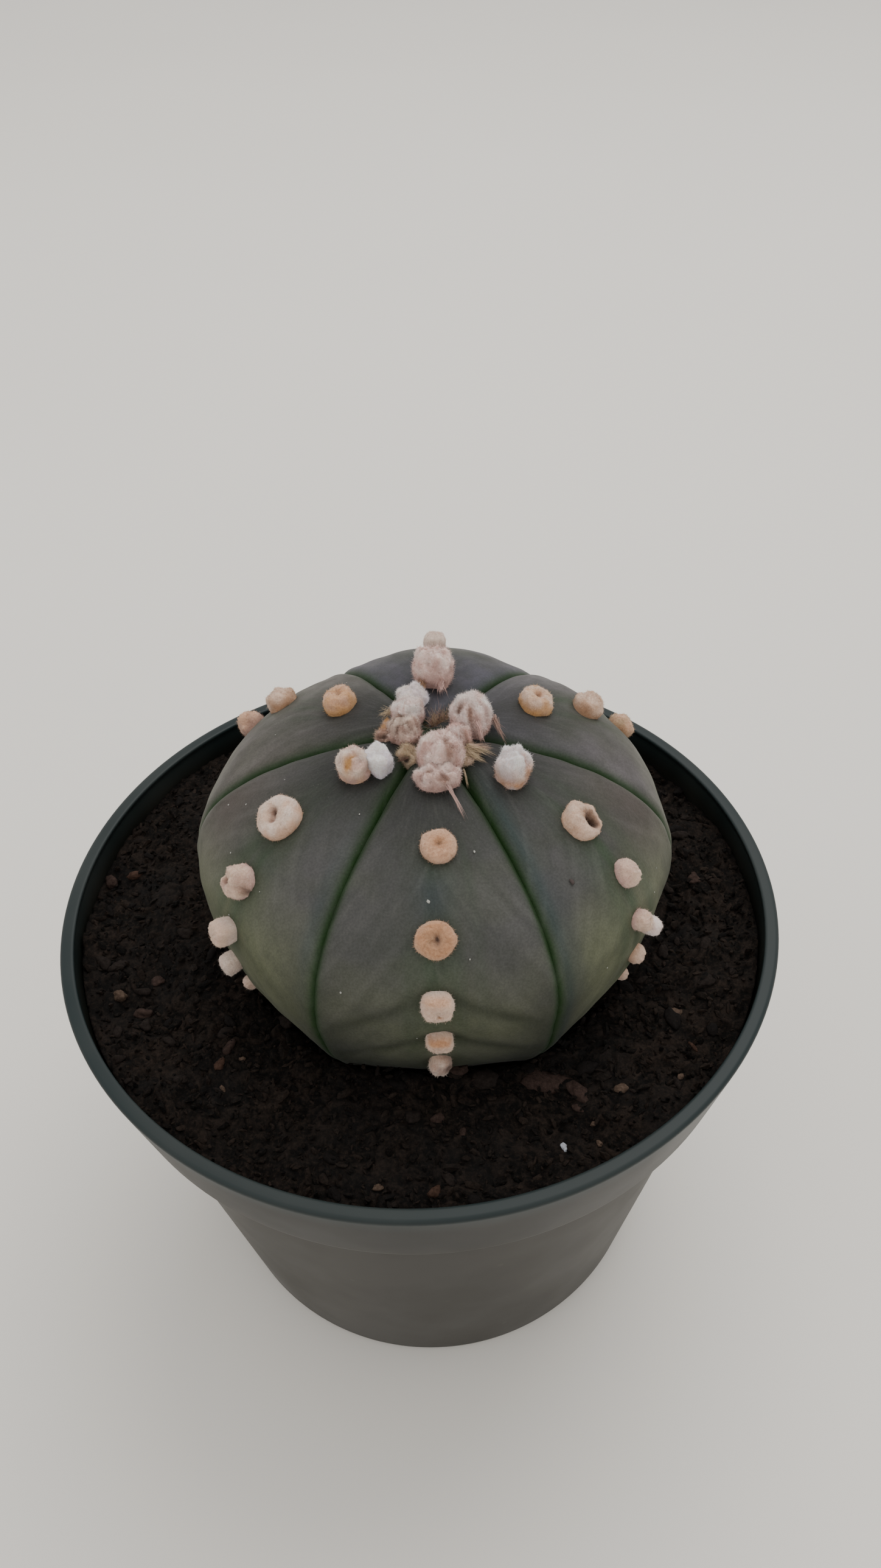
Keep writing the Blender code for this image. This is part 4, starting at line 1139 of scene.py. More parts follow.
def crown_strands(seed):
    """The listed strands, each a wisp of fine fibres, and short fibres in the hole between the crown's tufts.

    The fibres of a wisp lie close at the root and end at different lengths.
    """
    own = np.random.default_rng(seed)
    starts, tips, thick, bends, colours = [], [], [], [], []
    for root, tip, width, bow, wool in STRANDS:
        start, end = skin_spot(*root), skin_spot(*tip)
        sideways = unit(np.cross(end - start, (0.0, 0.0, 1.0)))
        for _ in range(FIBRES_PER_STRAND):
            starts.append(start + own.normal(0, 0.26 * width * MM, 3))
            tips.append(start + (end - start) * own.uniform(0.2, 1.0) + own.normal(0, 0.32 * width * MM, 3))
            thick.append((0.05 + 0.02 * width) * MM)
            bends.append(bow * own.uniform(0.5, 1.3) * MM * sideways - 0.35 * MM * np.array([0, 0, 1])
                         + own.normal(0, 0.25 * width * MM, 3))
            colours.append(np.array(WOOL[wool]) * own.uniform(0.7, 1.2))
    for _ in range(HOLE_FIBRES):
        start = skin_spot("right", own.uniform(0.6, 4.6), own.uniform(1.0, 4.0), 0.1)
        starts.append(start)
        tips.append(start + own.normal(0, 0.9 * MM, 3) + np.array([0, 0, 1.3 * MM]))
        thick.append(0.05 * MM)
        bends.append(own.normal(0, 0.4 * MM, 3))
        colours.append(WOOL[str(own.choice(["ochre", "tan", "rose", "brown"]))])
    starts, tips, bends = np.array(starts), np.array(tips), np.array(bends)
    straight = tips - starts - bends
    length = np.linalg.norm(straight, axis=1)
    shapes = spikes(starts, unit(straight), length, np.array(thick), bends, STRAND_RINGS)
    piece = mesh_piece("crown_strands", *shapes, hair)
    paint(piece, "wool", np.repeat(np.array(colours)[:, None], 3 * STRAND_RINGS + 1, axis=1))
    finished(piece)
    return piece


dry_strands = crown_strands(53)

# %% [markdown]
# The skin is the largest surface, and its grid is laid out for what it has to show.
#
# A subdivided copy of the plain solid would spend most of its faces where nothing happens. Here the columns
# crowd towards the furrows, where the surface bends most, and the rows are even down to the soil and coarse
# below it.

# %% Skin grid
COLUMNS_PER_RIB = 54
VISIBLE_ROWS, BURIED_ROWS = 164, 12
SOIL_LATITUDE = -34.0
CROWN_START = 0.5 * MM

across_rib = np.sin(np.pi / 2 * (2 * np.arange(COLUMNS_PER_RIB) / COLUMNS_PER_RIB - 1))
skin_rib = np.repeat(np.arange(len(RIBS)), COLUMNS_PER_RIB)
skin_across = np.tile(across_rib, len(RIBS))
skin_azimuth = rib_azimuth(skin_rib, skin_across)
skin_latitude = np.radians(np.concatenate([
    np.linspace(90, SOIL_LATITUDE, VISIBLE_ROWS + 1)[1:],
    np.linspace(SOIL_LATITUDE, -90, BURIED_ROWS + 1)[1:-1]]))
SKIN_ROWS, SKIN_COLUMNS = len(skin_latitude), len(skin_azimuth)

azimuth_grid, latitude_grid = np.meshgrid(skin_azimuth, skin_latitude)
across_grid = np.broadcast_to(skin_across, azimuth_grid.shape)
rib_grid = np.broadcast_to(skin_rib, azimuth_grid.shape)
plain_skin = skin_point(azimuth_grid, latitude_grid, across=across_grid)
down_steps = np.linalg.norm(np.diff(plain_skin, axis=0), axis=-1)
run_grid = CROWN_START + np.cumsum(down_steps, axis=0)
run_grid = np.concatenate([np.full((1, SKIN_COLUMNS), CROWN_START), run_grid])
reach_grid = np.hypot(*(plain_skin[..., :2] - BODY_MIDDLE[:2]).transpose(2, 0, 1))
from_furrow = (1 - np.abs(across_grid)) * reach_grid * math.pi / len(RIBS)
print(f"skin grid {SKIN_ROWS} by {SKIN_COLUMNS}, {run_grid.max() * 1000:.0f} mm from crown to root")

# %% [markdown]
# On this grid the skin gets what the plain solid leaves out: soft swells, a shallow hollow round each areole,
# a low lip along each furrow, and the slanting folds near the soil.
#
# They could be brushed in by hand. Here each is a bell of a distance: a hollow is a bell of the distance to
# its areole, and a fold is a bell of the distance to a line that runs down and out from a low areole.

# %% Skin relief
FOLD_STARTS, FOLD_SLANT, FOLD_WIDTH = (43.0, 51.5), 11.0, 1.3 * MM
FOLD_ON_FRONT, FOLD_ELSEWHERE = 1.0, 0.3


def bell(distance, width):
    """exp(-(distance / width)^2): 1 in the middle, and near 0 at twice the width."""
    return np.exp(-(distance / width) ** 2)


def low_folds(run, across):
    """Depth share of the slanting folds: a valley from each low areole, running down and out to the furrows.

    They are deep on the front rib and hardly show on the others.
    """
    folds, side = np.zeros_like(run), np.abs(across)
    for start in FOLD_STARTS:
        slant = (start + FOLD_SLANT * side) * MM
        folds += bell(run - slant, FOLD_WIDTH) * np.clip(side * 6, 0, 1) * np.clip(2.6 * (1 - side), 0, 1)
    return folds * np.where(rib_grid == RIBS.index("front"), FOLD_ON_FRONT, FOLD_ELSEWHERE)


fold_grid = low_folds(run_grid, across_grid)
pad_centres = np.array([crest_frame(RIBS.index(one.rib), one.run * MM, one.aside * MM)[0] for one in areoles])
pad_radii = np.array([one.across / 2 * MM for one in areoles])
hollow = np.zeros_like(run_grid)
for centre, radius in zip(pad_centres, pad_radii):
    hollow += bell(np.linalg.norm(plain_skin - centre, axis=-1), radius + 0.8 * MM)
raised = (0.10 * MM * ripple(plain_skin, 13 * MM, 3) + 0.035 * MM * ripple(plain_skin, 4.5 * MM, 4)
          + 0.14 * MM * bell(from_furrow - 1.7 * MM, 1.0 * MM) - 0.22 * MM * fold_grid - 0.35 * MM * hollow)
raised *= np.clip(run_grid / (6 * MM), 0, 1)
skin_points = skin_point(azimuth_grid, latitude_grid, raised, across_grid)
poles = skin_point(np.zeros(2), np.radians((90.0, -90.0)))
print(f"the skin is raised by {raised.max() / MM:.2f} mm at most and sunk by {-raised.min() / MM:.2f} mm")

# %% [markdown]
# The skin's colour comes in broad zones, which follow the plant's form.
#
# A purple-grey bloom lies over the upper ribs. The ribs at the sides and the back are washed warmer and more
# violet, as painted sheen where they are seen at a slant. The crests are moss green and the lower flanks a
# lighter olive: the green is their own, and the lightness is painted light from the side. A mottled green
# patch lies below each areole. Near the crown the skin is nearly black, partly its own dark young skin and
# partly painted shadow of the crown's wool. A dark bluish band beside the right one of the two front furrows,
# and teal bands beside both, are painted shade where the ribs slope down into them. Each furrow is a thin
# dark green line.
#
# Texture painting would do it, but the zones have to fit the form exactly. So each zone is a named colour,
# washed over the last by a share that is worked out from the place on the rib.

# %% Skin zones
SKIN = {
    "bloom": (0.098, 0.093, 0.095),
    "mid": (0.069, 0.069, 0.065),
    # olive: the lower flanks' own green, painted lighter as painted side light
    "olive": (0.140, 0.149, 0.090),
    "moss": (0.054, 0.068, 0.046),
    "leaf": (0.046, 0.074, 0.040),
    # deep: the dark young skin near the crown, and partly painted shadow of the crown's wool
    "deep": (0.018, 0.018, 0.019),
    "furrow": (0.010, 0.036, 0.006),
    "furrow side": (0.024, 0.052, 0.016),
    # teal, and blue beside the right front furrow: painted shade where the ribs slope into the furrows
    "teal": (0.032, 0.050, 0.050),
    "blue": (0.036, 0.044, 0.056),
    # violet and dusk: painted sheen on the far ribs, where they are seen at a slant
    "violet": (0.132, 0.124, 0.178),
    "dusk": (0.128, 0.114, 0.105),
    "umber": (0.070, 0.055, 0.047),
    "shade": (0.020, 0.025, 0.014),
}
HALF_RIB = 0.52


def washed(under, name, amount):
    """Lays a named colour over what is there by an amount between 0 and 1."""
    return blended(under, SKIN[name], np.clip(amount, 0, 1)[..., None])


def ramp(value, low, high):
    """0 up to low, 1 from high on, and even between them."""
    return np.clip((value - low) / (high - low), 0, 1)


def patch_below_areoles():
    """A bell round a point that lies a little outside and below each areole."""
    patch = np.zeros_like(run_grid)
    for centre, radius in zip(pad_centres, pad_radii):
        outward = (centre - BODY_MIDDLE) * np.array([1.0, 1.0, 0.0])
        lower = centre + 0.8 * radius * unit(outward - np.array([0, 0, 0.01]))
        patch += bell(np.linalg.norm(plain_skin - lower, axis=-1), radius + 3.0 * MM)
    return np.clip(patch, 0, 1)


def skin_colours():
    """The zones, from the broadest to the finest, by the mm down from the crown and out from a furrow."""
    run, across, side = run_grid / MM, across_grid, np.abs(across_grid)
    beside, from_crest = from_furrow / MM, side * reach_grid / MM * HALF_RIB
    name = np.array(RIBS)[rib_grid]
    front, front_left, front_right = name == "front", name == "front_left", name == "front_right"
    back = np.isin(name, ("back", "left", "right"))
    wander = 0.14 * ripple(plain_skin, 14 * MM, 8) + 0.07 * ripple(plain_skin, 5 * MM, 9)
    # bloom on the upper ribs, and warmer and more violet tones on the far ones, as painted sheen at a slant
    colour = np.broadcast_to(np.array(SKIN["mid"]), (*run.shape, 3))
    bloom = np.where(front, 0.5, 0.95) * bell(run - 28, 13) * (0.4 + 0.6 * side)
    colour = washed(colour, "bloom", bloom + wander)
    far = (1.15 - 0.020 * run) * (0.5 + 0.5 * side)
    dusk = np.isin(name, ("left", "right")) * (far + 0.25) * ramp(run, 8, 22)
    colour = washed(colour, "dusk", dusk + 0.4 * wander)
    colour = washed(colour, "violet", (name == "back") * far + (name == "right") * 0.5 * far)
    # green crests, olive flanks and the patches below the areoles. The olive is the flanks' own green, painted
    # lighter as painted side light
    colour = washed(colour, "moss", 0.45 * (bell(from_crest, 4.5) * ramp(run, 12, 24)) + wander)
    lit_flank = np.where(front, 0.52 * ramp(run, 37, 50), 0.95 * ramp(run, 33, 44))
    colour = washed(colour, "olive", lit_flank * np.clip(1.35 - 0.80 * side, 0, 1) + 0.45 * wander)
    patchy = 0.75 + 0.50 * ripple(np.stack([60 * across, 0.12 * run, 3.0 * rib_grid], -1), 8.0, 10)
    below = patch_below_areoles() * np.where(front, 0.30, 0.48)
    colour = washed(colour, "leaf", below * patchy * ramp(run, 14, 24))
    # the dark crown, partly its own dark young skin and partly painted shadow of its wool, kept lighter beside
    # the furrows as painted light against the furrows' shade; and umber on the outer halves
    near_crown = bell(np.clip(run - 10, 0, None), 14) * (1 - 0.3 * bell(beside, 3.5))
    colour = washed(colour, "deep", (0.97 - 0.15 * back) * near_crown + 0.4 * wander)
    outside = front_left * np.clip(-1.4 * across, 0, 1) + front_right * np.clip(1.4 * across, 0, 1)
    colour = washed(colour, "umber", 0.80 * bell(run - 33, 9) * (outside + 0.3 * back))
    # bluish and teal bands beside the two front furrows, painted shade where the ribs slope into them, and one
    # across the front crest
    right_furrow_shade = front_right * (across < 0) * ramp(run, 8, 20)
    left_furrow_shade = front_left * (across > 0) * ramp(run, 8, 20)
    colour = washed(colour, "blue", 0.35 * right_furrow_shade * bell(beside - 4.0, 1.6) * bell(run - 40, 12))
    furrow_shade_bands = 0.75 * right_furrow_shade + 0.5 * left_furrow_shade * bell(run - 36, 12)
    colour = washed(colour, "teal", furrow_shade_bands * bell(beside - 1.8, 1.4))
    colour = washed(colour, "blue", 0.6 * bell(from_crest, 2.8) * front * bell(run - 30, 3.6))
    # shade in the folds and near the soil, and the furrows
    colour = washed(colour, "shade", 0.55 * fold_grid)
    colour = washed(colour, "shade", 0.45 * bell(beside, 5.5) * ramp(run, 40, 52))
    colour = washed(colour, "shade", 0.8 * ramp(run, 58, 67))
    colour = washed(colour, "furrow side", 0.8 * np.exp(-(beside / 0.95) ** 1.6))
    return washed(colour, "furrow", np.exp(-(beside / 0.55) ** 2))


zones = skin_colours()
print("mean colour of the skin:", zones.reshape(-1, 3).mean(axis=0).round(3))

# %% [markdown]
# The fine marks are smaller than the grid, so they are left to the nodes.
#
# Pale streaks fan out from the crest, down and sideways, so each point gets its place along and across those
# streaks as an attribute. Finer streaks follow the growth from the crown to the root, along a UV map.
# Mottling, pores and tiny pale flecks have no direction and read Object coordinates.

# %% Skin finish
FAN_SLOPE = 26 * MM


def fan_places():
    """Place across a streak, place along it, and a number for each half of each rib.

    The place across it is the run less FAN_SLOPE times the share of the way to the furrow, in tenths of a
    metre. The place along it is that share.
    """
    share = np.abs(across_grid)
    half = rib_grid + 0.5 * (across_grid > 0)
    return np.stack([(run_grid - FAN_SLOPE * share) / (100 * MM), share, half], -1)


def skin_finish():
    """Matte skin: its painted zones, with streaks, mottling, pores and flecks."""
    made = Finish("cactus_skin", 0.55, SKIN["mid"])
    fan = made.attribute("fan", "Vector")
    grown = made.add("ShaderNodeUVMap", uv_map="grown").outputs[0]
    fans = made.noise(1.0, 2.0, 0.4, made.stretched((27.0, 1.6, 1.0), fan))
    streaks = made.noise(1.0, 3.0, 0.6, made.stretched((230.0, 22.0, 1.0), grown))
    mottle = made.noise(3.2 * MM, 6.0, 0.65)
    pores = made.noise(0.32 * MM, 2.0, 0.6)
    colour = made.attribute("zones")
    colour = made.mixed(made.step(fans, 0.32, 0.68, 0.0, 0.45), colour, (0.62, 0.66, 0.62), "MULTIPLY")
    colour = made.mixed(made.step(fans, 0.44, 0.26, 0.0, 0.11), colour, (0.140, 0.140, 0.130))
    colour = made.mixed(made.step(streaks, 0.50, 0.76, 0.0, 0.13), colour, (0.12, 0.12, 0.11))
    colour = made.mixed(made.step(mottle, 0.45, 0.70, 0.0, 0.28), colour, (0.036, 0.040, 0.030))
    colour = made.mixed(made.step(pores, 0.38, 0.62, 0.0, 0.36), colour, (0.50, 0.50, 0.50), "MULTIPLY")
    flecks = made.step(made.cells(0.75 * MM), 0.16, 0.08)
    flecks = made.times(flecks, made.step(made.noise(5 * MM, 3.0), 0.54, 0.66))
    colour = made.mixed(made.times(flecks, 0.14), colour, (0.20, 0.20, 0.18))
    made.set(Base_Color=colour, Sheen_Weight=0.04, Sheen_Roughness=0.4, Specular_IOR_Level=0.16,
             Roughness=made.step(mottle, 0.3, 0.7, 0.50, 0.66),
             Normal=made.bump(pores, 0.035 * MM, made.bump(streaks, 0.03 * MM)))
    return made.material


skin_material = skin_finish()
print("nodes in the skin's finish:", len(skin_material.node_tree.nodes))

# %% [markdown]
# The grid, the zones and the finish come together in one closed piece, with a pole at the crown and one at
# the root.
#
# Unwrapping would cut the skin into islands. The grid already knows where each point is, so the UV map is
# read off it.


# %% Cactus skin
def with_poles(values):
    """A grid's values, followed by one for each pole, taken from the first and the last row."""
    return np.concatenate([values.reshape(-1, 3), values[[0, -1], :1].reshape(-1, 3)])


def grown_uvs():
    """For each corner of each face: u goes round the plant, and v is the run in tenths of a metre."""
    u_column = np.append((skin_rib + (skin_across + 1) / 2) / len(RIBS), 1.0)
    v_row = run_grid.mean(axis=1) / 0.1
    row, column = np.meshgrid(np.arange(SKIN_ROWS - 1), np.arange(SKIN_COLUMNS), indexing="ij")
    quads = [np.stack([u_column[column + du], v_row[row + dv]], -1)
             for du, dv in ((0, 0), (0, 1), (1, 1), (1, 0))]
    here, beside, crown = u_column[:-1], u_column[1:], np.zeros(SKIN_COLUMNS)
    first, last, root = crown + v_row[0], crown + v_row[-1], crown + 1.1 * v_row[-1]
    first_fan = [np.stack(corner, -1) for corner in ((here, crown), (here, first), (beside, first))]
    last_fan = [np.stack(corner, -1) for corner in ((here, last), (here, root), (beside, last))]
    return np.concatenate([np.stack(corners, -2).reshape(-1, 2) for corners in (quads, first_fan, last_fan)])


cactus_skin = mesh_piece("cactus_skin", np.concatenate([skin_points.reshape(-1, 3), poles]),
                         grid_quads(SKIN_ROWS, SKIN_COLUMNS), pole_fans(SKIN_ROWS, SKIN_COLUMNS),
                         skin_material)
paint(cactus_skin, "zones", with_poles(zones))
place_attribute(cactus_skin, "fan", with_poles(fan_places()))
grown_map = cactus_skin.data.uv_layers.new(name="grown")
grown_map.data.foreach_set("uv", grown_uvs().astype(np.float32).ravel())
finished(cactus_skin, "cactus_body")

# %% [markdown]
# Under the soil the plant ends in a stout taproot with many branches. It is hidden, so it gets only a plain
# wrinkled cone, which is a ring of points that shrinks on its way down.

# %% Taproot
ROOT_TOP, ROOT_TIP = (9.0 * MM, 66.0 * MM), (2.5 * MM, 38.0 * MM)
ROOT_GRID = (24, 24)


def taproot_points(rows, columns):
    """A cone from the root's top to its tip, wrinkled round by rings, with a pole at each end."""
    turns = 2 * math.pi * np.arange(columns) / columns
    share, turn = np.meshgrid(np.linspace(0, 1, rows), turns, indexing="ij")
    radius = ROOT_TOP[0] + (ROOT_TIP[0] - ROOT_TOP[0]) * share
    radius = radius * (0.97 + 0.03 * np.sin(60 * share) * np.cos(3 * turn + 9 * share))
    height = ROOT_TOP[1] + (ROOT_TIP[1] - ROOT_TOP[1]) * share
    middle_x, middle_y = BODY_MIDDLE[:2]
    grid = np.stack([middle_x + radius * np.cos(turn), middle_y + radius * np.sin(turn), height], -1)
    ends = [(middle_x, middle_y, ROOT_TOP[1]), (middle_x, middle_y, ROOT_TIP[1])]
    return np.concatenate([grid.reshape(-1, 3), ends])


root_finish = Finish("root_bark", 0.85)
root_colour = root_finish.mixed(root_finish.noise(2 * MM, 4.0), (0.10, 0.06, 0.035), (0.24, 0.17, 0.11))
root_finish.set(Base_Color=root_colour)
taproot = mesh_piece("taproot", taproot_points(*ROOT_GRID), grid_quads(*ROOT_GRID), pole_fans(*ROOT_GRID),
                     root_finish.material)
finished(taproot)

# %% [markdown]
# The soil is dark peat: crumbs of every size, darker where damp, with shreds of bark.
#
# A flat disc with a bump map would look painted from this close. So the bed is a real relief: three sizes of
# pebbles on a slow swell. The same closed grid runs down inside the pot's wall, across its floor, and up
# round the buried part of the plant, as the plain solid does.

# %% Soil bed
SOIL_TOP = 80.0 * MM
SOIL_LINE = np.radians(-29.5)
GAP = 0.3 * MM
BED_COLUMNS, BED_ROWS = 840, 78
HIDDEN_TONE = 0.4


def soil_relief(x, y):
    """Height above the mean level, and a tone for each crumb: three sizes of pebbles on a slow swell."""
    flat = np.stack([x, y], -1)
    wx, wy = x + 0.5 * MM * ripple(flat, 4 * MM, 21), y + 0.5 * MM * ripple(flat, 4 * MM, 22)
    large, large_tone = pebbles(wx, wy, 3.4 * MM, 23)
    middle, middle_tone = pebbles(wx, wy, 1.6 * MM, 24)
    small, small_tone = pebbles(wx, wy, 0.8 * MM, 25)
    patch = np.clip(0.5 + 0.5 * ripple(flat, 9 * MM, 26), 0, 1)
    swell = 0.45 * MM * ripple(flat, 26 * MM, 27)
    height = swell + 0.9 * MM * large * patch + 0.55 * MM * middle + 0.28 * MM * small
    return height - 0.75 * MM, 0.45 * middle_tone + 0.3 * small_tone + 0.25 * large_tone


def level_ring(turn, reach, height, middle=(0.0, 0.0)):
    """A level circle of points: middle + reach times (cos, sin) of the turn, at one height."""
    x, y = middle[0] + reach * np.cos(turn), middle[1] + reach * np.sin(turn)
    return np.stack([x, y, 0 * turn + height], -1)


def soil_bed_points():
    """Rows from the hole's lowest point up to the surface, out to the wall, down it and in on the floor."""
    turn = 2 * math.pi * np.arange(BED_COLUMNS) / BED_COLUMNS
    hole = [level_ring(turn, ROOT_TIP[0] + GAP, ROOT_TIP[1] - GAP, BODY_MIDDLE),
            level_ring(turn, ROOT_TOP[0] + GAP, ROOT_TOP[1] - 6 * MM, BODY_MIDDLE)]
    for latitude in np.radians((-64, -52, -42, -34)):
        hole.append(skin_point(turn, np.full(BED_COLUMNS, latitude), 1.4 * GAP))
    edge = skin_point(turn, np.full(BED_COLUMNS, SOIL_LINE), 0.6 * MM)
    wall = float(inner_radius(SOIL_TOP)) - GAP
    outer = np.stack([wall * np.cos(turn), wall * np.sin(turn)], -1)
    share = np.linspace(0, 1, BED_ROWS)[:, None, None]
    top = edge[None, :, :2] * (1 - share) + outer[None] * share
    height, tone = soil_relief(top[..., 0], top[..., 1])
    sunk_edge = 0.6 * MM * bell(share[..., 0], 0.04) + 0.2 * MM * bell(1 - share[..., 0], 0.03)
    top = np.concatenate([top, (SOIL_TOP + height - sunk_edge)[..., None]], -1)
    outside = [level_ring(turn, reach, height) for reach, height in (
        (inner_radius(COLLAR_FOOT + 1.6 * MM) - GAP, COLLAR_FOOT + 1.6 * MM),
        (inner_radius(COLLAR_FOOT - 0.6 * MM) - GAP, WALL_TOP),
        (inner_radius(FLOOR_TOP + 2.5 * MM) - 1.6 * GAP, FLOOR_TOP + 2.5 * MM),
        (inner_radius(FLOOR_TOP + 2.5 * MM) - 2.5 * MM, FLOOR_TOP + GAP))]
    grid = np.concatenate([np.array(hole), top, np.array(outside)])
    tones = np.full(grid.shape[:2], HIDDEN_TONE)
    tones[len(hole):len(hole) + BED_ROWS] = tone
    ends = [(BODY_MIDDLE[0], BODY_MIDDLE[1], ROOT_TIP[1] - GAP), (0.0, 0.0, FLOOR_TOP + GAP)]
    points = np.concatenate([grid.reshape(-1, 3), ends])
    return len(grid), points, np.append(tones.ravel(), [HIDDEN_TONE, HIDDEN_TONE])


bed_rows, bed_points, bed_tones = soil_bed_points()
print("rows of the soil's grid:", bed_rows)

# %% [markdown]
# Damp peat is nearly black, and each crumb has a brown of its own.
#
# One brown noise would do from afar. Close by, the colour has to change from crumb to crumb, so the tone that
# each crumb was given picks its place between black-brown and reddish brown. A fine noise adds the grain, and
# a broad one the damp places.


# %% Peat finish
def peat_finish():
    """Matte peat, from the tone of each crumb."""
    made = Finish("damp_peat", 0.92, (0.022, 0.016, 0.013))
    tone = made.attribute("tone", "Fac")
    fine = made.noise(0.5 * MM, 5.0, 0.7)
    damp = made.noise(12 * MM, 3.0, 0.6)
    colour = made.mixed(made.step(tone, 0.25, 0.98), (0.0036, 0.0030, 0.0027), (0.0225, 0.0155, 0.0120))
    colour = made.mixed(made.step(fine, 0.50, 0.74, 0.0, 0.65), colour, (0.036, 0.025, 0.019))
    colour = made.mixed(made.step(fine, 0.48, 0.34, 0.0, 0.7), colour, (0.0025, 0.0022, 0.0020))
    colour = made.mixed(made.step(damp, 0.45, 0.70, 0.0, 0.5), colour, (0.0045, 0.004, 0.004))
    made.set(Base_Color=colour, Roughness=made.step(damp, 0.4, 0.7, 0.95, 0.75), Specular_IOR_Level=0.12,
             Normal=made.bump(fine, 0.20 * MM))
    return made.material


peat = peat_finish()
soil_bed = mesh_piece("soil_bed", bed_points, grid_quads(bed_rows, BED_COLUMNS),
                      pole_fans(bed_rows, BED_COLUMNS), peat)
tone_attribute(soil_bed, bed_tones)
finished(soil_bed, "soil")

# %% [markdown]
# Loose crumbs and shreds of peat lie on the bed.
#
# Particles would scatter them, but a part has to carry them as mesh. Each is a twenty-sided ball whose
# corners are pushed in and out at random, then drawn out to a shred and turned. That is enough faces for
# something a millimetre wide, and thousands of them can be made in one array. The places are drawn between
# the plant and the wall, and each crumb rests on the relief under it.

# %% Crumbs
CRUMBS = 4800
CRUMB_MIDDLE, CRUMB_SPREAD, CRUMB_SMALLEST, CRUMB_LARGEST = 0.72, 0.45, 0.30, 2.2
CRUMB_STRETCH, CRUMB_ROUGH, CRUMB_TILT = (1.5, 0.7, 0.5), 0.28, 0.6
INNER_REACH, WALL_MARGIN, PLANT_MARGIN = 27 * MM, 1.0 * MM, 0.5 * MM


def ball_of_twenty():
    """The 12 corners and 20 faces of an icosahedron.

    The corners are (0, +-1, +-g) and its turns, where g is the golden ratio, all drawn in to length 1.
    """
    golden = (1 + math.sqrt(5)) / 2
    corners = np.array([(-1, golden, 0), (1, golden, 0), (-1, -golden, 0), (1, -golden, 0),
                        (0, -1, golden), (0, 1, golden), (0, -1, -golden), (0, 1, -golden),
                        (golden, 0, -1), (golden, 0, 1), (-golden, 0, -1), (-golden, 0, 1)])
    faces = np.array([(0, 11, 5), (0, 5, 1), (0, 1, 7), (0, 7, 10), (0, 10, 11),
                      (1, 5, 9), (5, 11, 4), (11, 10, 2), (10, 7, 6), (7, 1, 8),
                      (3, 9, 4), (3, 4, 2), (3, 2, 6), (3, 6, 8), (3, 8, 9),
                      (4, 9, 5), (2, 4, 11), (6, 2, 10), (8, 6, 7), (9, 8, 1)])
    return unit(corners.astype(float)), faces


def random_turns(count, own, tilt):
    """Rotation matrices from random unit quaternions. A small tilt keeps the pieces lying flat."""
    quaternion = own.normal(size=(count, 4)) * np.array([1.0, tilt, tilt, 1.0])
    w, x, y, z = unit(quaternion).T
    return np.stack([
        np.stack([1 - 2 * (y * y + z * z), 2 * (x * y - z * w), 2 * (x * z + y * w)], -1),
        np.stack([2 * (x * y + z * w), 1 - 2 * (x * x + z * z), 2 * (y * z - x * w)], -1),
        np.stack([2 * (x * z - y * w), 2 * (y * z + x * w), 1 - 2 * (x * x + y * y)], -1)], 1)


def places_on_soil(count, own):
    """Random places on the bed, evenly over its area, between the plant's foot and the pot's wall."""
    turn = own.uniform(0, 2 * math.pi, 3 * count)
    outermost = float(inner_radius(SOIL_TOP)) - WALL_MARGIN
    reach = np.sqrt(own.uniform(INNER_REACH ** 2, outermost ** 2, 3 * count))
    x, y = reach * np.cos(turn), reach * np.sin(turn)
    dx, dy = x - BODY_MIDDLE[0], y - BODY_MIDDLE[1]
    foot = skin_point(np.arctan2(dy, dx), np.full(3 * count, SOIL_LINE), PLANT_MARGIN)
    outside = np.hypot(dx, dy) > np.hypot(*(foot - BODY_MIDDLE)[:, :2].T)
    x, y = x[outside][:count], y[outside][:count]
    return np.stack([x, y, SOIL_TOP + soil_relief(x, y)[0]], -1)


def scattered(name, where, size, stretch, rough, tilt, finish, seed):
    """One chunk at each place: ball corners times (1 +- rough), times size and stretch, turned at random."""
    own = np.random.default_rng(seed)
    ball, faces = ball_of_twenty()
    count = len(where)
    dented = ball[None] * own.uniform(1 - rough, 1 + rough, (count, 12, 1))
    shape = dented * (np.asarray(size)[:, None, None] / 2) * stretch
    shape = np.einsum("nij,nkj->nki", random_turns(count, own, tilt), shape)
    piece = mesh_piece(name, shape + where[:, None], [], copied_faces(faces, count, 12), finish, smooth=False)
    tone_attribute(piece, np.repeat(own.uniform(size=count), 12))
    finished(piece)
    return piece


soil_chance = np.random.default_rng(61)
crumb_places = places_on_soil(CRUMBS, soil_chance)
crumb_sizes = soil_chance.lognormal(math.log(CRUMB_MIDDLE), CRUMB_SPREAD, len(crumb_places))
crumb_sizes = np.clip(crumb_sizes, CRUMB_SMALLEST, CRUMB_LARGEST) * MM
crumb_places[:, 2] += 0.10 * crumb_sizes
soil_crumbs = scattered("soil_crumbs", crumb_places, crumb_sizes, CRUMB_STRETCH, CRUMB_ROUGH, CRUMB_TILT,
                        peat, 62)

# %% [markdown]
# The larger bits need a rounder form: shreds of bark, clumps of peat, a few grains of pumice and one white
# chip.
#
# A ball of twenty faces looks cut from stone at this size. Here a small grid is wrapped round each bit, as on
# a globe, and soft waves push it in and out. The bits that the eye finds first have their place, size, turn
# and colour in a list, and the rest are drawn at random.

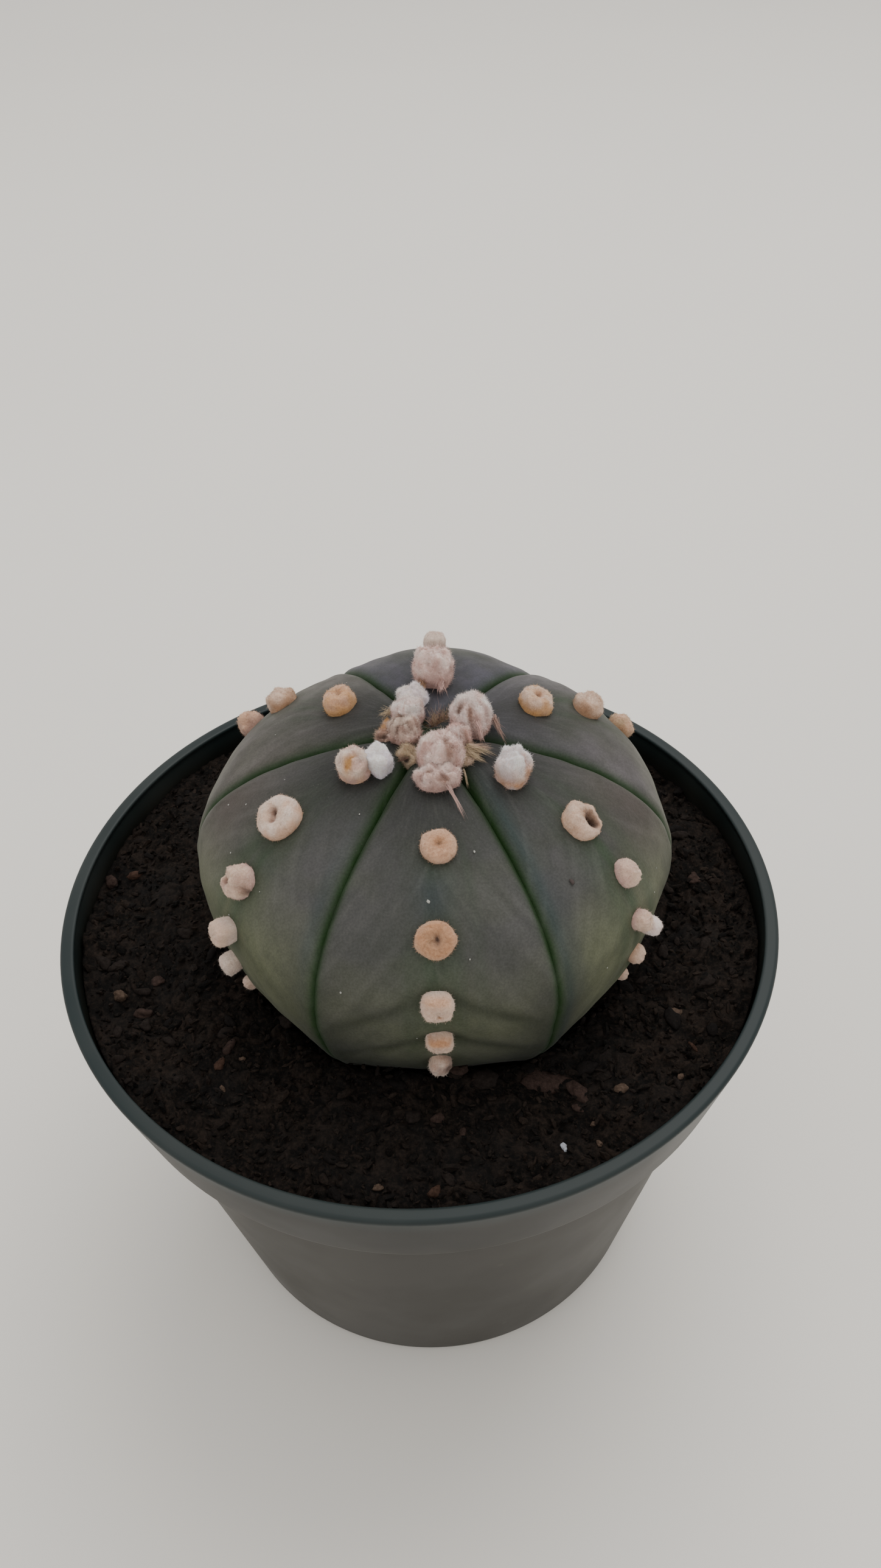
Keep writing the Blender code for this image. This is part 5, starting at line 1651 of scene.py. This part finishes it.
# %% Bark and clumps
BIT = {
    "red": (0.046, 0.029, 0.024),
    "brown": (0.018, 0.013, 0.011),
    "black": (0.008, 0.006, 0.0055),
    "tan": (0.100, 0.068, 0.050),
    "rust": (0.062, 0.034, 0.024),
    "white": (0.52, 0.55, 0.62),
}
BIT_CHANCES = {"red": 0.12, "brown": 0.34, "black": 0.48, "tan": 0.03, "rust": 0.03}
LISTED_BITS = (
    # x, y, length, width and height in mm, turn in degrees, colour
    (17.4, -36.2, 8.4, 3.6, 1.3, -10, "red"), (22.0, -38.6, 4.2, 2.4, 1.2, -60, "red"),
    (7.6, -35.6, 5.4, 3.6, 1.8, 10, "brown"), (4.3, -34.6, 2.8, 1.8, 2.6, 0, "red"),
    (-49.5, -15.2, 2.6, 1.7, 1.4, -20, "tan"), (-43.7, -12.5, 2.2, 1.6, 1.2, 30, "red"),
    (-45.2, -18.7, 3.2, 1.9, 1.2, -10, "red"), (-31.9, -30.0, 2.0, 1.4, 1.2, 70, "rust"),
    (-28.7, -28.9, 1.2, 0.9, 0.9, 0, "tan"), (37.9, -36.8, 1.3, 0.9, 0.8, 60, "tan"),
    (28.3, -39.2, 2.2, 1.5, 1.2, 10, "tan"), (40.9, -31.6, 1.8, 0.7, 0.7, -60, "rust"),
    (23.5, -43.8, 0.9, 0.8, 0.8, 0, "tan"), (-8.2, -51.7, 1.6, 1.2, 1.0, 0, "tan"),
    (-0.2, -52.8, 2.4, 1.6, 1.3, 50, "rust"), (18.8, -47.4, 1.5, 0.9, 0.8, -60, "white"),
    (30.0, -17.2, 3.6, 2.2, 1.4, 40, "brown"), (39.9, -12.9, 2.8, 1.6, 1.1, 70, "brown"),
)
DRAWN_BITS = 130
BIT_ROWS, BIT_COLUMNS = 8, 14


def rounded_bits(name, where, sizes, turns, colours, finish, seed):
    """A globe's grid for each bit: direction * (1 + waves) * half the sizes, turned about the vertical."""
    latitude = np.radians(np.linspace(90, -90, BIT_ROWS + 2)[1:-1])[:, None]
    longitude = 2 * math.pi * np.arange(BIT_COLUMNS) / BIT_COLUMNS
    globe = np.stack([np.cos(latitude) * np.cos(longitude), np.cos(latitude) * np.sin(longitude),
                      np.sin(latitude) + 0 * longitude], -1)
    globe = np.concatenate([globe.reshape(-1, 3), [[0, 0, 1], [0, 0, -1]]])
    count = len(where)
    waves = np.stack([ripple(globe, 1.5, seed + k) + 0.5 * ripple(globe, 0.7, seed + 400 + k)
                      for k in range(count)])
    shape = globe * (1 + 0.14 * waves[..., None]) * np.asarray(sizes)[:, None] / 2
    cos, sin = np.cos(turns)[:, None], np.sin(turns)[:, None]
    shape = np.stack([shape[..., 0] * cos - shape[..., 1] * sin, shape[..., 0] * sin + shape[..., 1] * cos,
                      shape[..., 2]], -1)
    faces = tuft_faces(BIT_ROWS, BIT_COLUMNS, count)
    piece = mesh_piece(name, shape + np.asarray(where)[:, None], *faces, finish)
    paint(piece, "bit", np.repeat(np.asarray(colours)[:, None], globe.shape[0], axis=1))
    finished(piece)
    return piece


def bark_finish():
    """Matte bark: the colour of each bit, darkened by a fine grain."""
    made = Finish("bark_bits", 0.9, BIT["red"])
    grain = made.noise(0.5 * MM, 4.0, 0.7)
    colour = made.mixed(made.step(grain, 0.35, 0.65), made.attribute("bit"), (0.45, 0.42, 0.40), "MULTIPLY")
    made.set(Base_Color=colour, Specular_IOR_Level=0.15, Normal=made.bump(grain, 0.12 * MM))
    return made.material


def all_bits(count, own):
    """The places, sizes, turns and colours of the listed bits, and of as many more as are asked for."""
    listed = np.array([bit[:6] for bit in LISTED_BITS]) * np.array([MM, MM, MM, MM, MM, math.pi / 180])
    x, y = listed[:, 0], listed[:, 1]
    where = np.stack([x, y, SOIL_TOP + soil_relief(x, y)[0] + 0.15 * listed[:, 4]], -1)
    drawn = places_on_soil(count, own)
    sizes = own.uniform(0.8, 3.4, (count, 1)) * MM * np.array([1.0, 0.62, 0.42])
    sizes *= own.uniform(0.8, 1.2, (count, 3))
    drawn[:, 2] += 0.08 * sizes[:, 2]
    drawn_names = own.choice(list(BIT_CHANCES), size=count, p=list(BIT_CHANCES.values()))
    names = [bit[6] for bit in LISTED_BITS] + [str(one) for one in drawn_names]
    turns = np.concatenate([listed[:, 5], own.uniform(0, math.pi, count)])
    return (np.concatenate([where, drawn]), np.concatenate([listed[:, 2:5], sizes]), turns,
            np.array([BIT[one] for one in names]))


bark_bits = rounded_bits("bark_bits", *all_bits(DRAWN_BITS, soil_chance), bark_finish(), 63)

# %% [markdown]
# A few pale flecks of lime and one brown scar lie on the skin.
#
# They could be dots in the skin's finish, but each one that is seen has its own place. They are smaller than
# the skin's grid, so each is a tiny flat bit of its own, laid along the skin.

# %% Flecks
FLECKS = (
    # rib, run, aside, width in mm
    ("front", 23.9, 5.6, 0.34), ("front", 30.3, -0.6, 0.50), ("front_left", 19.0, 7.1, 0.24),
    ("front_left", 34.3, -12.9, 0.28), ("front_left", 30.7, -8.8, 0.28), ("front_left", 36.0, -4.3, 0.28),
    ("front_left", 23.6, -6.7, 0.26), ("front", 44.5, -13.3, 0.30), ("front", 57.0, 13.0, 0.40),
)
SCAR = ("front_right", 32.9, -7.9, 0.8)
DRAWN_FLECKS = 30
FLECK_COLOUR, SCAR_COLOUR = (0.36, 0.36, 0.33), (0.050, 0.035, 0.032)


def skin_flecks(count, seed):
    """Flat bits on the skin: the listed ones, the scar, and smaller ones of seeded chance on all ribs."""
    own = np.random.default_rng(seed)
    chance = [(str(own.choice(RIBS)), own.uniform(16, 55), own.uniform(-9, 9), own.uniform(0.14, 0.26))
              for _ in range(count)]
    ball, faces = ball_of_twenty()
    shapes = []
    for rib, run, aside, width in (*FLECKS, SCAR, *chance):
        point, east, north, out = crest_frame(RIBS.index(rib), run * MM, aside * MM)
        flat = ball * own.uniform(0.7, 1.3, (12, 1)) * np.array([width / 2, width / 1.6, 0.06]) * MM
        shapes.append(point + 0.03 * MM * out + flat @ np.array([east, north, out]))
    finish = Finish("skin_flecks", 0.8, FLECK_COLOUR)
    finish.set(Base_Color=finish.attribute("fleck"))
    piece = mesh_piece("skin_flecks", shapes, [], copied_faces(faces, len(shapes), 12), finish.material)
    colours = np.full((len(shapes), 12, 3), FLECK_COLOUR)
    colours[len(FLECKS)] = SCAR_COLOUR
    paint(piece, "fleck", colours)
    finished(piece)
    return piece


flecks = skin_flecks(DRAWN_FLECKS, 64)

# %% [markdown]
# The studio is plain: a pale floor, a pale sky all round, and one large soft lamp overhead.
#
# A small lamp would be easier to aim, but it casts hard shadows. A large one close by gives the soft contact
# shadow under the plant's overhang and a broad dull shine on the pot.

# %% Studio
FLOOR_TONES = (0.80, 0.77, 0.72), (0.84, 0.81, 0.76)
SKY_COLOUR, SKY_STRENGTH = (1.0, 0.985, 0.955, 1.0), 1.05
LAMP_PLACE, LAMP_AIM, LAMP_COLOUR = (0.25, 0.45, 1.1), (0, 0, 0.08), (1.0, 0.985, 0.96)
LAMP_SIZE, LAMP_POWER = 0.9, 6.2

floor_finish = Finish("pale_floor", 0.6)
floor_finish.set(Base_Color=floor_finish.mixed(floor_finish.noise(0.25, 2.0), *FLOOR_TONES))
bpy.ops.mesh.primitive_plane_add(size=8.0, location=(0, 0, -0.0002))
floor = bpy.context.object
floor.name = "studio_floor"
floor.data.materials.append(floor_finish.material)

world = bpy.data.worlds.new("pale_sky")
world.use_nodes = True
world.node_tree.nodes["Background"].inputs["Color"].default_value = SKY_COLOUR
world.node_tree.nodes["Background"].inputs["Strength"].default_value = SKY_STRENGTH
bpy.context.scene.world = world

overhead = bpy.data.objects.new("overhead", bpy.data.lights.new("overhead", "AREA"))
overhead.data.shape = "DISK"
overhead.data.size = LAMP_SIZE
overhead.data.energy = LAMP_POWER
overhead.data.color = LAMP_COLOUR
overhead.location = LAMP_PLACE
lamp_way = Matrix.Translation(LAMP_AIM).translation - overhead.location
overhead.rotation_euler = lamp_way.to_track_quat("-Z", "Y").to_euler()
bpy.context.scene.collection.objects.link(overhead)
print("lamps:", [one.name for one in bpy.data.lights])
